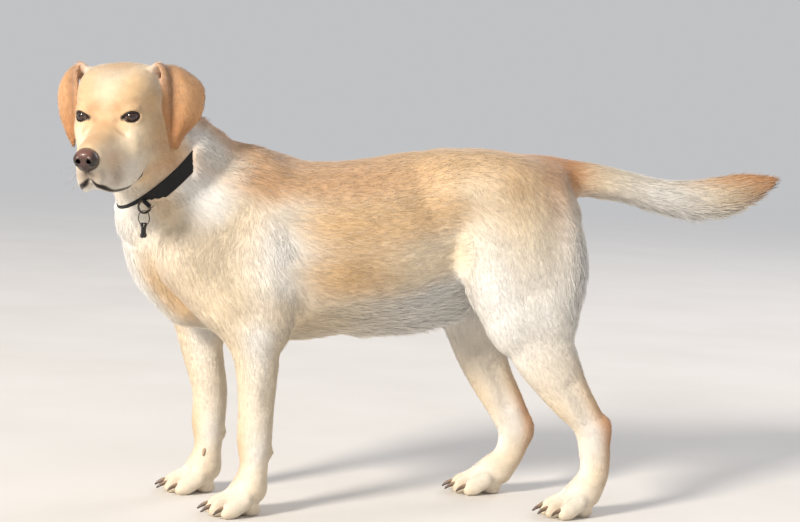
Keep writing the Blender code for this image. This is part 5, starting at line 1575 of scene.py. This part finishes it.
loops = {key: round_loop(run, BAND_STEPS) for key, run in corner_runs.items()}
band_points = []
for across, thick in BAND_PROFILE:
    share = (across + 1) / 2
    inner = loops[-1, "in"] * (1 - share) + loops[1, "in"] * share
    outer = loops[-1, "out"] * (1 - share) + loops[1, "out"] * share
    band_points.append(inner * (1 - thick) + outer * thick)
rows = len(BAND_PROFILE)
band_at = np.stack(band_points, 1).reshape(-1, 3) + COLLAR_AT + HOME
length = np.linalg.norm(np.diff(loops[1, "out"], axis=0, append=loops[1, "out"][:1]), axis=1)
gone = np.concatenate([[0], np.cumsum(length)])
faces, spots = [], []
for i in range(BAND_STEPS):
    j = (i + 1) % BAND_STEPS
    for k in range(rows):
        m = (k + 1) % rows
        faces.append((i * rows + k, j * rows + k, j * rows + m, i * rows + m))
        edge = BAND_PROFILE[m][0]
        spots += [(gone[i], BAND_PROFILE[k][0] * BAND_HALF), (gone[i + 1], BAND_PROFILE[k][0] * BAND_HALF),
                  (gone[i + 1], edge * BAND_HALF), (gone[i], edge * BAND_HALF)]
band_mesh = mesh_of("collar_band", band_at, np.array(faces))
sheet = band_mesh.uv_layers.new(name="UVMap")
sheet.data.foreach_set("uv", np.array(spots, np.float32).ravel())
band = add_object("collar_band", band_mesh)
select(band)
bpy.ops.object.mode_set(mode="EDIT")
bpy.ops.mesh.select_all(action="SELECT")
bpy.ops.mesh.normals_make_consistent(inside=False)
bpy.ops.object.mode_set(mode="OBJECT")
band.data.shade_smooth()

# Nylon webbing: black yarn in a ribbed weave, 2 mm along the strap and 1.4 mm across it to a rib, with a
# faint gloss on each; the ribs are painted a little lighter as a highlight and the dips between them
# darker as shade.
webbing, tree, shader = new_finish("nylon_webbing", Roughness=0.68, Sheen_Weight=0.06, IOR=1.53,
                                   Specular_IOR_Level=0.3)
around = add_node(tree, "ShaderNodeUVMap", uv_map="UVMap")
ribs = add_node(tree, "ShaderNodeTexWave", {"Vector": around.outputs["UV"], "Scale": 160.0,
                                            "Distortion": 0.3}, bands_direction="X")
picks = add_node(tree, "ShaderNodeTexWave", {"Vector": around.outputs["UV"], "Scale": 220.0},
                 bands_direction="Y")
woven = add_node(tree, "ShaderNodeMath", {0: ribs.outputs["Fac"], 1: picks.outputs["Fac"]},
                 operation="MULTIPLY")
# Painted highlight on the ribs and painted shade between them.
yarn_shading = add_node(tree, "ShaderNodeValToRGB", {"Fac": woven.outputs["Value"]},
                [(0.0, "#060607"), (1.0, "#17181b")])
tree.links.new(yarn_shading.outputs["Color"], shader.inputs["Base Color"])
weave = add_node(tree, "ShaderNodeBump", {"Height": woven.outputs["Value"], "Strength": 0.6,
                                          "Distance": 0.0004})
tree.links.new(weave.outputs["Normal"], shader.inputs["Normal"])
band.data.materials.append(webbing)
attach(band, "root")
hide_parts("collar")

# The fold sewn over the D-ring's bar, of the same webbing, with its ribs 2 mm apart; painted lighter on
# the ribs as a highlight and darker between them as shade.
keeper_cloth, tree, shader = new_finish("keeper_webbing", Roughness=0.7, Sheen_Weight=0.06, IOR=1.53,
                                        Specular_IOR_Level=0.3)
place = add_node(tree, "ShaderNodeTexCoord")
ribs = add_node(tree, "ShaderNodeTexWave", {"Vector": place.outputs["Object"], "Scale": 160.0,
                                            "Distortion": 0.4}, bands_direction="Z")
# Painted highlight on the ribs and painted shade between them.
yarn_shading = add_node(tree, "ShaderNodeValToRGB", {"Fac": ribs.outputs["Fac"]},
                [(0.0, "#060607"), (1.0, "#17181b")])
tree.links.new(yarn_shading.outputs["Color"], shader.inputs["Base Color"])
weave = add_node(tree, "ShaderNodeBump", {"Height": ribs.outputs["Fac"], "Strength": 0.5,
                                          "Distance": 0.0004})
tree.links.new(weave.outputs["Normal"], shader.inputs["Normal"])
keeper = smooth_copy("collar_keeper", 0)
keeper.name = "keeper_fold"
soft_edge = keeper.modifiers.new("edge", "BEVEL")
soft_edge.width = 0.0004
soft_edge.segments = 2
bpy.ops.object.modifier_apply(modifier=soft_edge.name)
keeper.data.shade_smooth()
keeper.data.materials.append(keeper_cloth)
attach(keeper, "root")
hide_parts("collar_keeper")


# ---- The D-ring, and the split ring that hangs from it: bent steel wire, plated.
# The split ring is two close turns of thin wire.

# Plated steel: grey and smooth, with fine scratches that break its shine, drawn 1.4 mm apart.
ring_steel, tree, shader = new_finish("plated_steel", Metallic=1.0, Roughness=0.22)
shader.inputs["Base Color"].default_value = (*paint("#5d5650"), 1)
place = add_node(tree, "ShaderNodeTexCoord")
scratch = add_node(tree, "ShaderNodeTexNoise", {"Vector": place.outputs["Object"], "Scale": 700.0,
                                                "Detail": 3.0})
worn = add_node(tree, "ShaderNodeMapRange", {"Value": scratch.outputs["Fac"], "To Min": 0.14,
                                             "To Max": 0.36})
tree.links.new(worn.outputs["Result"], shader.inputs["Roughness"])
d_ring = smooth_copy("collar_d_ring", 2)
swell(d_ring, 0.0005)
d_ring.name = "d_ring"
d_ring.data.materials.append(ring_steel)
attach(d_ring, "root")
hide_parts("collar_d_ring")

source = np.array([list(v.co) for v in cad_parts["split_ring"].data.vertices])
middle = source.mean(0)
axes = np.linalg.svd(source - middle)[2]
reach = np.linalg.norm(source - middle, axis=1).max()
SPLIT_WIRE = 0.00055
coil = []
for t in np.linspace(0, 4 * math.pi, 97):
    side_step = (t / (4 * math.pi) - 0.5) * 2 * SPLIT_WIRE * 1.05
    coil.append(middle + (reach - SPLIT_WIRE) * (axes[0] * math.cos(t) + axes[1] * math.sin(t))
                + axes[2] * side_step)
split_ring = wire("split_ring_wire", coil, SPLIT_WIRE, ring_steel)
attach(split_ring, "root")
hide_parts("split_ring")


# ---- The tag: a small bone of stamped metal, enamelled dark and left blank.
# It hangs edge-on from the split ring through the hole in its upper end.

# Enamel over metal: near black, glossy, rubbed paler in patches 2 mm wide.
tag_enamel, tree, shader = new_finish("dark_enamel", Metallic=0.4, Roughness=0.3, Coat_Weight=0.4)
place = add_node(tree, "ShaderNodeTexCoord")
rubbed = add_node(tree, "ShaderNodeTexNoise", {"Vector": place.outputs["Object"], "Scale": 500.0})
tone = add_node(tree, "ShaderNodeValToRGB", {"Fac": rubbed.outputs["Fac"]},
                [(0.35, "#191a1e"), (0.75, "#4a4b50")])
tree.links.new(tone.outputs["Color"], shader.inputs["Base Color"])
tag = smooth_copy("collar_tag", 0)
tag.name = "bone_tag"
soft_edge = tag.modifiers.new("edge", "BEVEL")
soft_edge.width = 0.0003
soft_edge.segments = 2
soft_edge.limit_method = "ANGLE"
bpy.ops.object.modifier_apply(modifier=soft_edge.name)
tag.data.shade_smooth()
tag.data.set_sharp_from_angle(angle=math.radians(50))
tag.data.materials.append(tag_enamel)
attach(tag, "root")
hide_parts("collar_tag")


# ---- The room: a plain pale floor, one large soft lamp ahead of the dog, a weak one behind it,
# and even light from all round.
ROOM_LIGHT = "#f3f4f7"
ROOM_STRENGTH = 0.60
bpy.ops.object.select_all(action="DESELECT")
bpy.ops.mesh.primitive_plane_add(size=40)
floor = bpy.context.object
floor.name = "studio_floor"

# Matt floor paint, clouded a little over a third of a metre; from 1.6 m out it fades into the room.
floor_paint, tree, shader = new_finish("pale_floor", Roughness=0.85)
place = add_node(tree, "ShaderNodeTexCoord")
mottle = add_node(tree, "ShaderNodeTexNoise", {"Vector": place.outputs["Object"], "Scale": 3.0})
tone = add_node(tree, "ShaderNodeValToRGB", {"Fac": mottle.outputs["Fac"]},
                [(0.3, "#dedbd6"), (0.7, "#e4e1dd")])
tree.links.new(tone.outputs["Color"], shader.inputs["Base Color"])
away = add_node(tree, "ShaderNodeVectorMath", {0: place.outputs["Object"]}, operation="LENGTH")
fade = add_node(tree, "ShaderNodeMapRange", {"Value": away.outputs["Value"], "From Min": 1.6,
                                             "From Max": 8.0}, interpolation_type="SMOOTHSTEP")
sweep = add_node(tree, "ShaderNodeEmission", {"Color": (*paint(ROOM_LIGHT), 1),
                                              "Strength": ROOM_STRENGTH})
blend = add_node(tree, "ShaderNodeMixShader", {"Fac": fade.outputs["Result"]})
tree.links.new(shader.outputs["BSDF"], blend.inputs[1])
tree.links.new(sweep.outputs["Emission"], blend.inputs[2])
tree.links.new(blend.outputs["Shader"], tree.nodes["Material Output"].inputs["Surface"])
floor.data.materials.append(floor_paint)


def lamp(place, size, power, shade):
    """A round soft lamp that shines at the middle of the dog."""
    bpy.ops.object.light_add(type="AREA", location=place)
    made = bpy.context.object
    made.data.shape = "DISK"
    made.data.size = size
    made.data.energy = power
    made.data.color = tuple(paint(shade))
    made.rotation_euler = (Vector((0, 0, 0.38)) - made.location).to_track_quat("-Z", "Y").to_euler()


lamp((-7.6, -6.0, 4.9), 2.2, 1500, "#fff6ea")
lamp((4.2, 3.4, 3.4), 2.6, 90, "#fbf8ff")
world = bpy.data.worlds.new("studio")
bpy.context.scene.world = world
world.use_nodes = True
world.node_tree.nodes["Background"].inputs["Color"].default_value = (*paint(ROOM_LIGHT), 1)
world.node_tree.nodes["Background"].inputs["Strength"].default_value = ROOM_STRENGTH
bpy.context.scene.view_settings.view_transform = "Standard"
